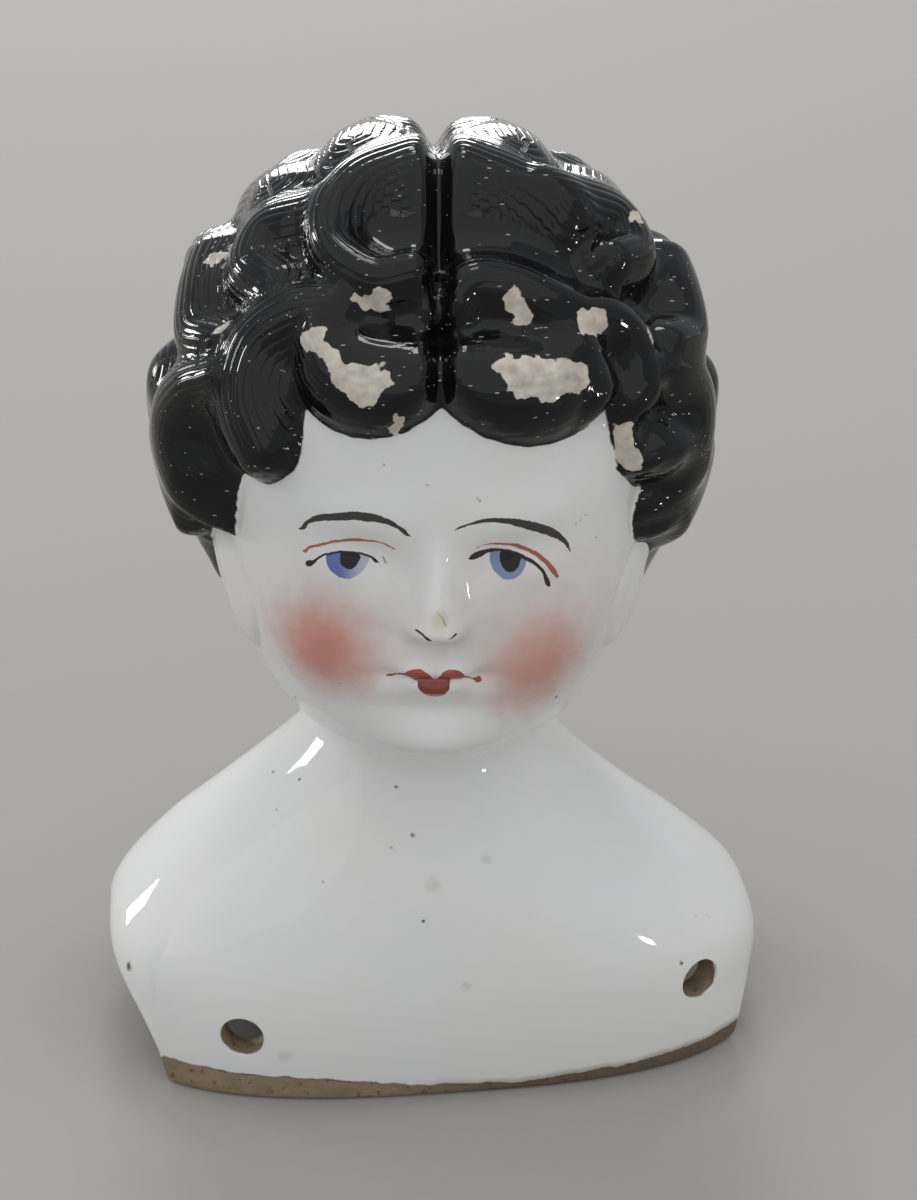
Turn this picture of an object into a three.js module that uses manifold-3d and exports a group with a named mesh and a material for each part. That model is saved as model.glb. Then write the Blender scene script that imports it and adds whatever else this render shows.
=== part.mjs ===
// A porcelain doll head of the shoulder-head kind: head, neck and shoulder plate cast as one hollow
// shell, with moulded hair, a closed crown, an open underside and four sew holes for the cloth body.
// Millimetres, +Z up. The plate faces -Y, and the origin is the middle of the plane it stands on.
import * as THREE from 'three';
import Module from 'manifold-3d';
import { mergeVertices } from 'three/addons/utils/BufferGeometryUtils.js';

const rad = THREE.MathUtils.degToRad;
const clamp01 = (v) => Math.min(1, Math.max(0, v));
const smooth = (a, b, v) => {
  const s = clamp01((v - a) / (b - a));
  return s * s * (3 - 2 * s);
};
const lerp = (a, b, s) => a + (b - a) * s;
const bell = (u, v) => Math.exp(-(u * u + v * v));

// Driving sizes of the whole head. Above the plate the head turns and leans to its own right.
const NECK_BASE_Z = 52;
const HEAD_TURN = rad(-6);
const TURN_HEIGHTS = [5, 52];
const HEAD_LEAN = -1.5;
const LEAN_HEIGHTS = [0, 44];
const SHOULDER_DROP = 0.9 / 40; // the left shoulder is lower than the right, per mm from the middle
const ORIGIN_SHIFT = [0.58, 1.03]; // moves the turned head over the middle of its own outline, in x and y
const WALL_IN = 3.8;
const WALL_DOWN = 2.4;

// Mesh density: columns run round the head, and rows run from the crown down to the plate's edge.
const COLUMNS = 86;
const FRONT_CROWDING = 0.42;
const HEAD_ROWS = 40;
const PLATE_ROWS = 6;
const CORE_HEAD_ROWS = 11;
const CORE_PLATE_ROWS = 4;

// The bald head from crown to neck base: share of the way down, then front, side and back profiles
// as [distance from the axis, height].
const SKIN_PROFILE = [
  { at: 0.0, front: [0, 132], side: [0, 132], back: [0, 132] },
  { at: 0.1, front: [13, 130.2], side: [12, 130.5], back: [13, 130.2] },
  { at: 0.22, front: [25, 124], side: [22, 124.2], back: [25, 124] },
  { at: 0.34, front: [32.4, 114], side: [28.2, 113.6], back: [32, 114] },
  { at: 0.46, front: [35, 103], side: [30.9, 101.5], back: [33.8, 101] },
  { at: 0.57, front: [35.4, 92.6], side: [30.4, 90], back: [32.5, 88.5] },
  { at: 0.68, front: [35.8, 82], side: [28.7, 79.5], back: [28, 77.5] },
  { at: 0.78, front: [35.6, 72.4], side: [26.2, 70.8], back: [22.4, 69.5] },
  { at: 0.86, front: [33.8, 64.2], side: [23.8, 64.6], back: [18.8, 64.6] },
  { at: 0.905, front: [28.6, 60], side: [20.6, 61.2], back: [17.6, 61.6] },
  { at: 0.94, front: [21.2, 58.2], side: [18, 58.8], back: [17.1, 59] },
  { at: 0.97, front: [18.2, 55.6], side: [16.6, 55.6], back: [17, 56] },
  { at: 1.0, front: [18.4, NECK_BASE_Z], side: [16.2, NECK_BASE_Z], back: [17, NECK_BASE_Z] },
];

// The hollow inside the head and neck, in the same form.
const CORE_PROFILE = [
  { at: 0.0, front: [0, 126.4], side: [0, 126.4], back: [0, 126.4] },
  { at: 0.2, front: [20.6, 121], side: [22, 121], back: [21.5, 121] },
  { at: 0.4, front: [30, 108.5], side: [27.2, 108], back: [29.6, 108] },
  { at: 0.56, front: [31.2, 94], side: [27.6, 93], back: [29.8, 93] },
  { at: 0.7, front: [31.4, 81.5], side: [25.2, 80], back: [25.2, 79] },
  { at: 0.82, front: [30, 71.5], side: [21.4, 70.5], back: [18.8, 70] },
  { at: 0.88, front: [25, 66], side: [17.2, 65.6], back: [15.2, 65.6] },
  { at: 0.93, front: [15.2, 62], side: [13.8, 61], back: [13.4, 61] },
  { at: 1.0, front: [13.8, NECK_BASE_Z], side: [12.4, NECK_BASE_Z], back: [13.2, NECK_BASE_Z] },
];

// The shoulder plate, by height: half width, front depth, back depth and squareness of the section.
const PLATE_PROFILE = [
  { z: NECK_BASE_Z, half: 16.2, front: 18.4, back: 17, square: 2 },
  { z: 47, half: 19.6, front: 20.1, back: 18.8, square: 2.05 },
  { z: 41, half: 25.2, front: 22, back: 21, square: 2.15 },
  { z: 34, half: 33.3, front: 24.1, back: 22.8, square: 2.25 },
  { z: 27, half: 41.5, front: 25.5, back: 24, square: 2.5 },
  { z: 19, half: 48.3, front: 26.4, back: 25, square: 2.7 },
  { z: 10, half: 49, front: 26.2, back: 25, square: 2.8 },
  { z: 0, half: 49.2, front: 24.9, back: 24.9, square: 2.8 },
];

// The plate is cut away under each arm, between its front and back panels.
const ARM_CUT_HEIGHT = 18.5;
const ARM_CUT_AT = rad(91);
const ARM_CUT_HALF = { right: rad(24), left: rad(19.5) };
const CORNER_ROUNDING = 1.5;

// Sew holes, as [place across, height], pierced square to the wall.
const HOLE_RADIUS = 3.1;
const HOLES = [
  { x: -30.4, z: 11.6, front: true },
  { x: 37.5, z: 15.8, front: true },
  { x: -33, z: 13, front: false },
  { x: 33, z: 13, front: false },
];
const HOLE_LENGTH = 20;

// A smooth curve through values at rising stations. Mirrored stations keep a dome round at its top.
function through(stations, values, at, mirrorSign) {
  const last = stations.length - 1;
  let k = 0;
  while (k < last - 1 && at > stations[k + 1]) k += 1;
  const slope = (i) => {
    if (i === 0 && mirrorSign !== 0) return mirrorSign < 0 ? values[1] / stations[1] : 0;
    const a = Math.max(0, i - 1);
    const b = Math.min(last, i + 1);
    return (values[b] - values[a]) / (stations[b] - stations[a]);
  };
  const span = stations[k + 1] - stations[k];
  const s = clamp01((at - stations[k]) / span);
  const s2 = s * s;
  const s3 = s2 * s;
  return (2 * s3 - 3 * s2 + 1) * values[k] + (s3 - 2 * s2 + s) * span * slope(k)
    + (3 * s2 - 2 * s3) * values[k + 1] + (s3 - s2) * span * slope(k + 1);
}

// The point of a three-sided profile at an angle round the head, where 0 faces forward.
function profilePoint(profile, angle, at, squareness) {
  const stations = profile.map((row) => row.at);
  const read = (side, item) => through(stations, profile.map((row) => row[side][item]), at, item ? 1 : -1);
  const facing = Math.cos(angle);
  const deep = facing > 0 ? 'front' : 'back';
  const depth = Math.max(read(deep, 0), 1e-6);
  const width = Math.max(read('side', 0), 1e-6);
  const n = squareness;
  const reach = (Math.abs(Math.sin(angle) / width) ** n + Math.abs(facing / depth) ** n) ** (-1 / n);
  const z = lerp(read('side', 1), read(deep, 1), facing * facing);
  return new THREE.Vector3(reach * Math.sin(angle), -reach * facing, z);
}

// Nose, lips, lids, cheeks and chin, as how far the skin stands proud at a place on the face.
const NOSE_TIP_Z = 85.6;
const NOSE_ROOT_Z = 97.5;
const NOSE_BASE_Z = 81.7;
const NOSE_RISE = 5;
const EYE_X = 11;
const EYE_Z = 91.6;
const MOUTH_Z = 77.2;
const CHIN_Z = 66.5;

function faceRelief(x, z) {
  const side = Math.abs(x);
  const along = clamp01((NOSE_ROOT_Z - z) / (NOSE_ROOT_Z - NOSE_TIP_Z));
  const under = smooth(NOSE_BASE_Z, NOSE_TIP_Z - 0.4, z);
  const bridge = (0.1 + 0.9 * along ** 1.35) * NOSE_RISE * smooth(NOSE_ROOT_Z + 4, NOSE_ROOT_Z - 5, z);
  const halfNose = lerp(1.9, 3.1, along ** 1.3);
  const nose = bridge * under * Math.exp(-((side / halfNose) ** 2.4));
  const nostrils = 0.8 * bell((side - 2.7) / 1.3, (z - NOSE_TIP_Z + 1.2) / 1.6);
  const sockets = -1.9 * bell((side - EYE_X + 2.2) / 5.4, (z - EYE_Z - 0.8) / 3.6);
  const eyeballs = 1.3 * bell((side - EYE_X) / 4.4, (z - EYE_Z + 0.2) / 2.6);
  const brows = 0.5 * bell((side - EYE_X) / 7, (z - EYE_Z - 7.2) / 2.6);
  const cheeks = 1.5 * bell((side - 15) / 7.5, (z - 79.5) / 7);
  const philtrum = -0.25 * bell(side / 1.1, (z - MOUTH_Z - 3.2) / 1.6);
  const muzzle = 1.1 * bell(side / 7.5, (z - MOUTH_Z - 0.3) / 4.4);
  const upperLip = 0.8 * bell((side - 1.9) / 2.4, (z - MOUTH_Z - 1.1) / 1.15);
  const lowerLip = bell(side / 2.8, (z - MOUTH_Z + 1.4) / 1.2);
  const mouthLine = -0.6 * bell(side / 4.6, (z - MOUTH_Z - 0.05) / 0.5);
  const corners = -0.8 * bell((side - 6.1) / 1.6, (z - MOUTH_Z) / 1.5);
  const lipFold = -0.8 * bell(side / 5.4, (z - MOUTH_Z + 4.9) / 1.8);
  const chin = 1.5 * bell(side / 6, (z - CHIN_Z) / 3.4);
  return nose + nostrils + sockets + eyeballs + brows + cheeks + philtrum + muzzle
    + upperLip + lowerLip + mouthLine + corners + lipFold + chin;
}

// Ears lie flat against the sides of the head: a raised oval with a hollow.
const EAR_ANGLE = rad(59.5);
const EAR_Z = 80.6;
const EAR_HALF_WIDTH = 7;
const EAR_HALF_HEIGHT = 9;
const EAR_ARC_RADIUS = 29;
const EAR_RISE = 1.7;
const EAR_HOLLOW = 0.6;

function earRelief(angle, z) {
  const along = (Math.abs(angle) - EAR_ANGLE) * EAR_ARC_RADIUS - 0.3 * (z - EAR_Z);
  const taper = 1 - 0.3 * clamp01((EAR_Z - z) / EAR_HALF_HEIGHT);
  const q = Math.hypot(along / (EAR_HALF_WIDTH * taper), (z - EAR_Z) / EAR_HALF_HEIGHT);
  const toBack = smooth(-1, 0.1, along / EAR_HALF_WIDTH);
  const body = EAR_RISE * Math.sqrt(Math.max(0, 1 - q ** 2.4)) * lerp(0.3, 1, toBack);
  return body - EAR_HOLLOW * bell((along - 1.6) / 1.8, (z - EAR_Z - 1.2) / 4.2);
}

// Hair: a cap round the hair centre, cut off at the hairline and carrying thick moulded locks.
const HAIR_CENTRE = new THREE.Vector3(0, -1, 99);
const CAP_HALF_WIDTH = 35.4;
const CAP_FRONT = 34.4;
const CAP_BACK = 35.4;
const CAP_TOP = 36.7;
const CAP_BELOW = 32.6;
const CAP_MINIMUM = 0.8;
const EDGE_ROUNDING = { front: 3.2, beside: 7 };
const EDGE_FULLNESS = 0.9;
const LOCK_BLEND = 3;
const LOCK_SPHERE = 38;
const LOCK_FULLNESS = 2.2;
const LOCK_STEPS = 5;
const PARTING_DEPTH = 3.2;
const PARTING_HALF_WIDTH = 1.5;

// Each lock is a rounded rope laid along a path seen from the hair centre. The path's points are
// [bearing from the front, elevation, half width], and the rise is how far the lock stands proud.
const LOCKS_RIGHT = [
  {
    rise: 4.5,
    path: [[2, 78, 8.5], [25, 79, 9.5], [50, 70, 6.5], [45, 60, 4.5], [35, 53, 4.2],
      [19, 49, 4.4], [8, 51, 4]],
  },
  { rise: 4, path: [[1, 30, 5.5], [12, 28.5, 7.4], [22, 30, 7], [29, 36, 4.5]] },
  { rise: 3.8, path: [[28, 42, 4], [39, 39, 5], [47, 31, 6.5], [46, 20, 7.5], [38, 10, 6]] },
  { rise: 3.4, path: [[50, 61, 4.6], [62, 57, 6], [71, 51, 5.8], [64, 44, 5.5], [50, 43, 4.5]] },
  { rise: 4, path: [[90, 35, 6], [79, 31, 7], [69, 26, 5.8], [58, 28, 3.4]] },
  {
    rise: 4.6,
    path: [[53, 22, 3.5], [63, 16, 5.8], [69, 7, 8], [65, -2, 7.8], [55, -9, 6.2], [48, -12, 4]],
  },
  { rise: 3.6, path: [[78, 0, 7], [73, -12, 6.5], [68, -24, 6], [65, -32, 4.5]] },
];
const LOCKS_LEFT = [
  { rise: 4.5, path: [[2, 78, 8.5], [25, 79, 9.5], [50, 70, 7], [56, 59, 5]] },
  {
    rise: 4,
    path: [[2, 45, 3.8], [9, 49, 4.4], [19, 48, 4.8], [30, 43, 5], [38, 39, 4.6],
      [46, 37, 4.2], [51, 31, 4.2], [50, 22, 4.2], [44, 19, 3.5]],
  },
  { rise: 4, path: [[1, 30, 5.5], [14, 28, 7.8], [25, 28, 7.4], [32, 33, 4.5]] },
  { rise: 3.4, path: [[36, 31, 3.4], [37, 21, 4.4], [40, 12, 5], [44, 5, 4]] },
  { rise: 5, path: [[56, 64, 5.4], [68, 59, 6.8], [77, 52, 6.4], [70, 45, 5.5], [58, 46, 4.5]] },
  { rise: 5.2, path: [[88, 35, 5.5], [81, 31, 7], [72, 25, 6], [61, 27, 3.6]] },
  { rise: 4.7, path: [[57, 23, 4], [68, 14, 7.4], [64, 4, 7.6], [52, 5, 5.5], [45, 4, 3.4]] },
  { rise: 3.6, path: [[68, -2, 6.2], [58, -4, 5.8], [50, -6, 5]] },
  { rise: 3.6, path: [[82, -6, 7], [70, -14, 7], [57, -18, 5]] },
];
const LOCKS_BACK = [
  { rise: 3.8, path: [[98, 74, 6.5], [124, 72, 8], [146, 62, 7]] },
  { rise: 3.4, path: [[90, 56, 6.5], [103, 54, 7], [116, 46, 6.5]] },
  { rise: 4.1, path: [[100, 33, 6.5], [112, 27, 7], [120, 18, 6]] },
  { rise: 3.8, path: [[88, 8, 6.5], [94, -2, 7.2], [92, -12, 6.4]] },
  { rise: 4.1, path: [[132, 48, 7], [146, 40, 7.5], [148, 29, 6.5]] },
  { rise: 4.1, path: [[160, 62, 7.5], [172, 52, 7.5], [170, 41, 6]] },
  { rise: 4, path: [[128, 14, 6.5], [134, 5, 7.2], [128, -6, 6]] },
  { rise: 4, path: [[158, 24, 7], [168, 14, 7.5], [162, 2, 6.5]] },
  { rise: 3.6, path: [[184, 30, 6], [184, 20, 6.5]] },
  { rise: 3.6, path: [[106, -8, 6.5], [114, -18, 7], [108, -29, 5.5]] },
  { rise: 3.6, path: [[142, -8, 6.5], [150, -20, 7], [144, -32, 5.5]] },
  { rise: 3.4, path: [[176, -6, 6.5], [184, -18, 6.5], [176, -32, 5]] },
  { rise: 2.2, path: [[84, -20, 6], [87, -30, 6.6], [90, -39, 5]] },
  { rise: 2.9, path: [[124, -34, 6], [134, -45, 6.5], [128, -56, 5]] },
  { rise: 2.9, path: [[160, -38, 6], [170, -50, 6.5], [160, -60, 5]] },
];

// A lock's path as points on a sphere round the hair centre, each with its half width.
function lockPath(points, side) {
  const ends = points.map(([bearing, elevation, half]) => {
    const [b, e] = [rad(side * bearing), rad(elevation)];
    const place = [Math.sin(b) * Math.cos(e), -Math.cos(b) * Math.cos(e), Math.sin(e)];
    return [...place.map((v) => v * LOCK_SPHERE), half];
  });
  const before = ends[0].map((v, i) => 2 * v - ends[1][i]);
  const after = ends[ends.length - 1].map((v, i) => 2 * v - ends[ends.length - 2][i]);
  const all = [before, ...ends, after];
  const path = [];
  for (let k = 1; k + 2 < all.length; k += 1) {
    for (let step = 0; step < LOCK_STEPS; step += 1) {
      const s = step / LOCK_STEPS;
      path.push(all[k].map((v, i) => {
        const [a, b, c] = [all[k - 1][i], all[k + 1][i], all[k + 2][i]];
        const bend = 2 * a - 5 * v + 4 * b - c;
        const twist = 3 * v - a - 3 * b + c;
        return v + 0.5 * ((b - a) * s + bend * s * s + twist * s ** 3);
      }));
    }
  }
  path.push(ends[ends.length - 1]);
  return path;
}

const locks = [[LOCKS_RIGHT, [-1]], [LOCKS_LEFT, [1]], [LOCKS_BACK, [-1, 1]]].flatMap(([table, sides]) => (
  table.flatMap(({ rise, path }) => sides.map((side) => ({ rise, path: lockPath(path, side) })))
));

function smoothMax(a, b, blend) {
  const h = clamp01(0.5 + (0.5 * (a - b)) / blend);
  return lerp(b, a, h) + blend * h * (1 - h);
}

// How near a place is to a lock's middle line, where 1 is the lock's edge.
function nearness(path, x, y, z) {
  let best = Infinity;
  for (let k = 0; k + 1 < path.length; k += 1) {
    const [ax, ay, az, aHalf] = path[k];
    const [bx, by, bz, bHalf] = path[k + 1];
    const [dx, dy, dz] = [bx - ax, by - ay, bz - az];
    const s = clamp01(((x - ax) * dx + (y - ay) * dy + (z - az) * dz) / (dx * dx + dy * dy + dz * dz));
    const away = Math.hypot(x - ax - s * dx, y - ay - s * dy, z - az - s * dz);
    best = Math.min(best, away / lerp(aHalf, bHalf, s));
  }
  return best;
}

function lockRelief(direction) {
  const place = direction.toArray().map((v) => v * LOCK_SPHERE);
  let relief = 0;
  for (const { rise, path } of locks) {
    const q = nearness(path, ...place);
    if (q < 1.4) relief = smoothMax(relief, rise * (1 - q ** LOCK_FULLNESS), LOCK_BLEND);
  }
  const behind = direction.y > 0 ? smooth(0.75, 0.35, direction.z) : 0;
  const fromParting = (direction.x * LOCK_SPHERE) / PARTING_HALF_WIDTH;
  return relief - PARTING_DEPTH * Math.exp(-(fromParting ** 2)) * (1 - behind);
}

// The hairline unrolled round the head, from nape to nape: [degrees from the front, height, and how
// far the line bulges down before the next point]. Between the cusps hang the scallops of the fringe.
const UNROLLED_RADIUS = 33;
const HAIRLINE = [
  [-180, 63.5, 0], [-150, 64, 0], [-120, 66, 0], [-98, 69, 0], [-84, 73.5, 0], [-77, 79.5, 0.4],
  [-71, 85, 0.6], [-64, 88, -0.6], [-51.5, 89.6, -0.3], [-47.5, 98.6, -0.5], [-44, 100.8, 0.8],
  [-34.5, 101.8, 0.9], [-29.8, 107.2, 0.1], [-30.4, 111.6, 3.2], [0.4, 113.6, 3.9], [39.8, 110.6, 0.2],
  [41.3, 104, 0.7], [45.5, 99.9, 0.6], [53.5, 97.2, 1.3], [51.5, 91, 0.7], [57.5, 87.6, -0.6],
  [62, 84, 0.2], [70, 77.5, 0.3], [82, 73, 0], [98, 69, 0], [120, 66, 0], [150, 64, 0], [180, 63.5, 0],
];
const HAIRLINE_STEPS = 8;
const ABOVE_HEAD = 200;

function hairlineChain() {
  const chain = [];
  for (let k = 0; k + 1 < HAIRLINE.length; k += 1) {
    const [a, az, sag] = HAIRLINE[k];
    const [b, bz] = HAIRLINE[k + 1];
    const [ax, bx] = [rad(a) * UNROLLED_RADIUS, rad(b) * UNROLLED_RADIUS];
    const length = Math.hypot(bx - ax, bz - az);
    for (let step = 0; step < HAIRLINE_STEPS; step += 1) {
      const s = step / HAIRLINE_STEPS;
      const bulge = (sag * 4 * s * (1 - s)) / length;
      chain.push([lerp(ax, bx, s) + (bz - az) * bulge, lerp(az, bz, s) - (bx - ax) * bulge]);
    }
  }
  const [end, endZ] = HAIRLINE[HAIRLINE.length - 1];
  chain.push([rad(end) * UNROLLED_RADIUS, endZ]);
  return chain;
}

const hairline = hairlineChain();
const hairOutline = [
  ...hairline,
  [hairline[hairline.length - 1][0] + 1, ABOVE_HEAD],
  [hairline[0][0] - 1, ABOVE_HEAD],
];

// The distance in from the edge of the hair, which is below 0 on bare skin.
function hairDepth(angle, z) {
  const x = angle * UNROLLED_RADIUS;
  let nearest = Infinity;
  for (let k = 0; k + 1 < hairline.length; k += 1) {
    const [[ax, az], [bx, bz]] = [hairline[k], hairline[k + 1]];
    const [dx, dz] = [bx - ax, bz - az];
    const s = clamp01(((x - ax) * dx + (z - az) * dz) / (dx * dx + dz * dz));
    nearest = Math.min(nearest, Math.hypot(x - ax - s * dx, z - az - s * dz));
  }
  let inside = false;
  hairOutline.forEach(([ax, az], k) => {
    const [bx, bz] = hairOutline[(k + 1) % hairOutline.length];
    if (az > z !== bz > z && x < ((bx - ax) * (z - az)) / (bz - az) + ax) inside = !inside;
  });
  return inside ? nearest : -nearest;
}

function capRadius(direction) {
  const depth = direction.y < 0 ? CAP_FRONT : CAP_BACK;
  const height = direction.z > 0 ? CAP_TOP : CAP_BELOW;
  return 1 / Math.hypot(direction.x / CAP_HALF_WIDTH, direction.y / depth, direction.z / height);
}

function headPoint(angle, at) {
  const squareness = lerp(2, 2.3, smooth(0.2, 0.45, at) * (1 - smooth(0.72, 0.9, at)));
  const bare = profilePoint(SKIN_PROFILE, angle, at, squareness);
  const onFace = smooth(0.1, 0.5, Math.cos(angle)) * smooth(0.93, 0.88, at);
  const relief = faceRelief(bare.x, bare.z) * onFace + earRelief(angle, bare.z);
  const skin = bare.clone();
  skin.x += Math.sin(angle) * relief;
  skin.y -= Math.cos(angle) * relief;
  const direction = bare.clone().sub(HAIR_CENTRE);
  const bareRadius = direction.length();
  direction.divideScalar(bareRadius);
  const depth = hairDepth(angle, bare.z);
  if (depth <= 0) return skin;
  const side = Math.abs(angle);
  const beside = smooth(rad(38), rad(54), side) * smooth(rad(70), rad(62), side);
  const s = clamp01(depth / lerp(EDGE_ROUNDING.front, EDGE_ROUNDING.beside, beside));
  const cover = (1 - (1 - s) ** 2) ** EDGE_FULLNESS;
  const cap = smoothMax(capRadius(direction), bareRadius + CAP_MINIMUM, 2);
  const hair = HAIR_CENTRE.clone().addScaledVector(direction, cap + lockRelief(direction));
  return skin.lerp(hair, cover);
}

function corePoint(angle, at) {
  return profilePoint(CORE_PROFILE, angle, at, 2);
}

function platePoint(angle, z, inset) {
  const heights = PLATE_PROFILE.map((row) => -row.z);
  const read = (item) => through(heights, PLATE_PROFILE.map((row) => row[item]), -z, 0);
  const half = read('half') - inset;
  const deep = read(Math.cos(angle) > 0 ? 'front' : 'back') - inset;
  const n = read('square');
  const reach = (Math.abs(Math.sin(angle) / half) ** n + Math.abs(Math.cos(angle) / deep) ** n) ** (-1 / n);
  return new THREE.Vector3(reach * Math.sin(angle), -reach * Math.cos(angle), z);
}

function edgeHeight(angle) {
  const half = angle < 0 ? ARM_CUT_HALF.right : ARM_CUT_HALF.left;
  const q = (Math.abs(angle) - ARM_CUT_AT) / half;
  const arch = ARM_CUT_HEIGHT * Math.sqrt(Math.max(0, 1 - q * q));
  return arch > CORNER_ROUNDING ? arch : 0;
}

// The finished place of a point: leaning, turning, with one shoulder dropped, and over the origin.
function turned(point) {
  const { x, z } = point;
  point.x += HEAD_LEAN * smooth(...LEAN_HEIGHTS, z);
  point.applyAxisAngle(new THREE.Vector3(0, 0, 1), HEAD_TURN * smooth(...TURN_HEIGHTS, z));
  point.z -= SHOULDER_DROP * x * smooth(4, 30, z) * smooth(56, 38, z);
  point.x += ORIGIN_SHIFT[0];
  point.y += ORIGIN_SHIFT[1];
  return point;
}

// Rings of points from the outer crown down to the rim, and back up inside to the inner crown.
function columnAngle(index, count) {
  const u = index / count;
  return 2 * Math.PI * u - FRONT_CROWDING * Math.sin(2 * Math.PI * u);
}

function ring(count, place) {
  return Array.from({ length: count }, (_, index) => {
    let angle = columnAngle(index, count);
    if (angle > Math.PI) angle -= 2 * Math.PI;
    return turned(place(angle));
  });
}

function shellRings() {
  const rings = [];
  for (let row = 1; row <= HEAD_ROWS; row += 1) {
    rings.push(ring(COLUMNS, (angle) => headPoint(angle, row / HEAD_ROWS)));
  }
  for (let row = 1; row <= PLATE_ROWS; row += 1) {
    const s = row / PLATE_ROWS;
    rings.push(ring(COLUMNS, (angle) => platePoint(angle, lerp(NECK_BASE_Z, edgeHeight(angle), s), 0)));
  }
  const coreColumns = COLUMNS / 2;
  for (let row = CORE_PLATE_ROWS; row >= 1; row -= 1) {
    const s = row / CORE_PLATE_ROWS;
    rings.push(ring(coreColumns, (angle) => {
      const z = lerp(NECK_BASE_Z - WALL_DOWN, edgeHeight(angle), s);
      const point = platePoint(angle, z + WALL_DOWN * (1 - s), WALL_IN);
      point.z = z;
      return point;
    }));
  }
  for (let row = CORE_HEAD_ROWS; row >= 1; row -= 1) {
    rings.push(ring(coreColumns, (angle) => corePoint(angle, row / CORE_HEAD_ROWS)));
  }
  return rings;
}

function shellGeometry() {
  const rings = shellRings();
  const vertices = [turned(headPoint(0, 0))];
  const starts = rings.map((points) => {
    const start = vertices.length;
    vertices.push(...points);
    return start;
  });
  const innerCrown = vertices.length;
  vertices.push(turned(corePoint(0, 0)));
  const faces = [];
  const first = rings[0].length;
  for (let j = 0; j < first; j += 1) faces.push(0, 1 + j, 1 + ((j + 1) % first));
  for (let k = 0; k + 1 < rings.length; k += 1) {
    const [a, b] = [starts[k], starts[k + 1]];
    const [many, few] = [rings[k].length, rings[k + 1].length];
    for (let j = 0; j < few; j += 1) {
      const next = (j + 1) % few;
      if (many === few) {
        faces.push(a + j, b + j, b + next, a + j, b + next, a + next);
      } else {
        const here = a + 2 * j;
        const middle = here + 1;
        const beyond = a + ((2 * j + 2) % many);
        faces.push(here, b + j, middle, middle, b + j, b + next, middle, b + next, beyond);
      }
    }
  }
  const last = starts[starts.length - 1];
  const count = rings[rings.length - 1].length;
  for (let j = 0; j < count; j += 1) faces.push(last + j, innerCrown, last + ((j + 1) % count));
  const coordinates = vertices.flatMap((v) => [v.x, v.y, v.z]);
  const geometry = new THREE.BufferGeometry();
  geometry.setAttribute('position', new THREE.Float32BufferAttribute(coordinates, 3));
  geometry.setIndex(faces);
  return geometry;
}

const wasm = await Module();
wasm.setup();

function solidOf(geometry) {
  const bare = geometry.clone();
  bare.deleteAttribute('normal');
  bare.deleteAttribute('uv');
  const merged = mergeVertices(bare, 1e-4);
  return new wasm.Manifold(new wasm.Mesh({
    numProp: 3,
    vertProperties: new Float32Array(merged.attributes.position.array),
    triVerts: new Uint32Array(merged.index.array),
  }));
}

function geometryOf(solid) {
  const mesh = solid.getMesh();
  const geometry = new THREE.BufferGeometry();
  geometry.setAttribute('position', new THREE.BufferAttribute(mesh.vertProperties, 3));
  geometry.setIndex(new THREE.BufferAttribute(mesh.triVerts, 1));
  geometry.computeVertexNormals();
  return geometry;
}

// A drill for one sew hole: a cylinder square to the wall where the hole is.
function drill({ x, z, front }) {
  const wall = (angle) => platePoint(front ? angle : Math.PI - angle, z, 0);
  let [low, high] = [0, Math.PI / 2];
  while (high - low > 1e-4) {
    const middle = (low + high) / 2;
    if (wall(middle).x < Math.abs(x)) low = middle;
    else high = middle;
  }
  const at = wall(low);
  const along = wall(low + 0.05).sub(wall(low - 0.05));
  const outward = new THREE.Vector3(-along.y, along.x, 0).normalize();
  if (outward.dot(at) < 0) outward.negate();
  at.x *= Math.sign(x);
  outward.x *= Math.sign(x);
  const cylinder = new THREE.CylinderGeometry(HOLE_RADIUS, HOLE_RADIUS, HOLE_LENGTH, 16);
  cylinder.applyQuaternion(new THREE.Quaternion().setFromUnitVectors(new THREE.Vector3(0, 1, 0), outward));
  const middle = turned(at);
  cylinder.translate(middle.x, middle.y, middle.z);
  return cylinder;
}

function porcelainShell() {
  let solid = solidOf(shellGeometry());
  for (const hole of HOLES) solid = solid.subtract(solidOf(drill(hole)));
  return geometryOf(solid);
}

const glazedPorcelain = new THREE.MeshStandardMaterial({ color: 0xe6e6e4, roughness: 0.12, metalness: 0 });

const dollHead = new THREE.Group();
const shoulderHead = new THREE.Mesh(porcelainShell(), glazedPorcelain);
shoulderHead.name = 'shoulder_head';
dollHead.add(shoulderHead);

export default dollHead;
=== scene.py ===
from math import cos, pi, radians, sin

import bpy
import numpy as np
from mathutils import Matrix, Vector


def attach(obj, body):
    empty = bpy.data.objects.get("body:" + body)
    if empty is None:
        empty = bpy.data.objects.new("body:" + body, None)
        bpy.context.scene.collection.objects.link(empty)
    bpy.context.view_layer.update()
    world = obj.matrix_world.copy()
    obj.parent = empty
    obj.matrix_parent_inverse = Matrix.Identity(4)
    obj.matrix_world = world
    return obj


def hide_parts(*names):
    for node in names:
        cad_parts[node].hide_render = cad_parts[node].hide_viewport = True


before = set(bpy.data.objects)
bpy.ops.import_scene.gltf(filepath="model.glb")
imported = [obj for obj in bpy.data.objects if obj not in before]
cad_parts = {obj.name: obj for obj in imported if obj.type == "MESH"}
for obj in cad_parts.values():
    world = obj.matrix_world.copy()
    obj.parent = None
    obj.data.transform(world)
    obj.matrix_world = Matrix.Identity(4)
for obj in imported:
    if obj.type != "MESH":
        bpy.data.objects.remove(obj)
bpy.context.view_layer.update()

# The camera looks down at the head from close by, a little from its right, as the photographer did.
# The picture is 917 by 1200 px, and lengths in it are in px of its height.
PICTURE_WIDTH, PICTURE_HEIGHT = 917, 1200
CAMERA_BEARING, CAMERA_ELEVATION, CAMERA_ROLL = radians(-7.8), radians(28), radians(1.07)
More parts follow.
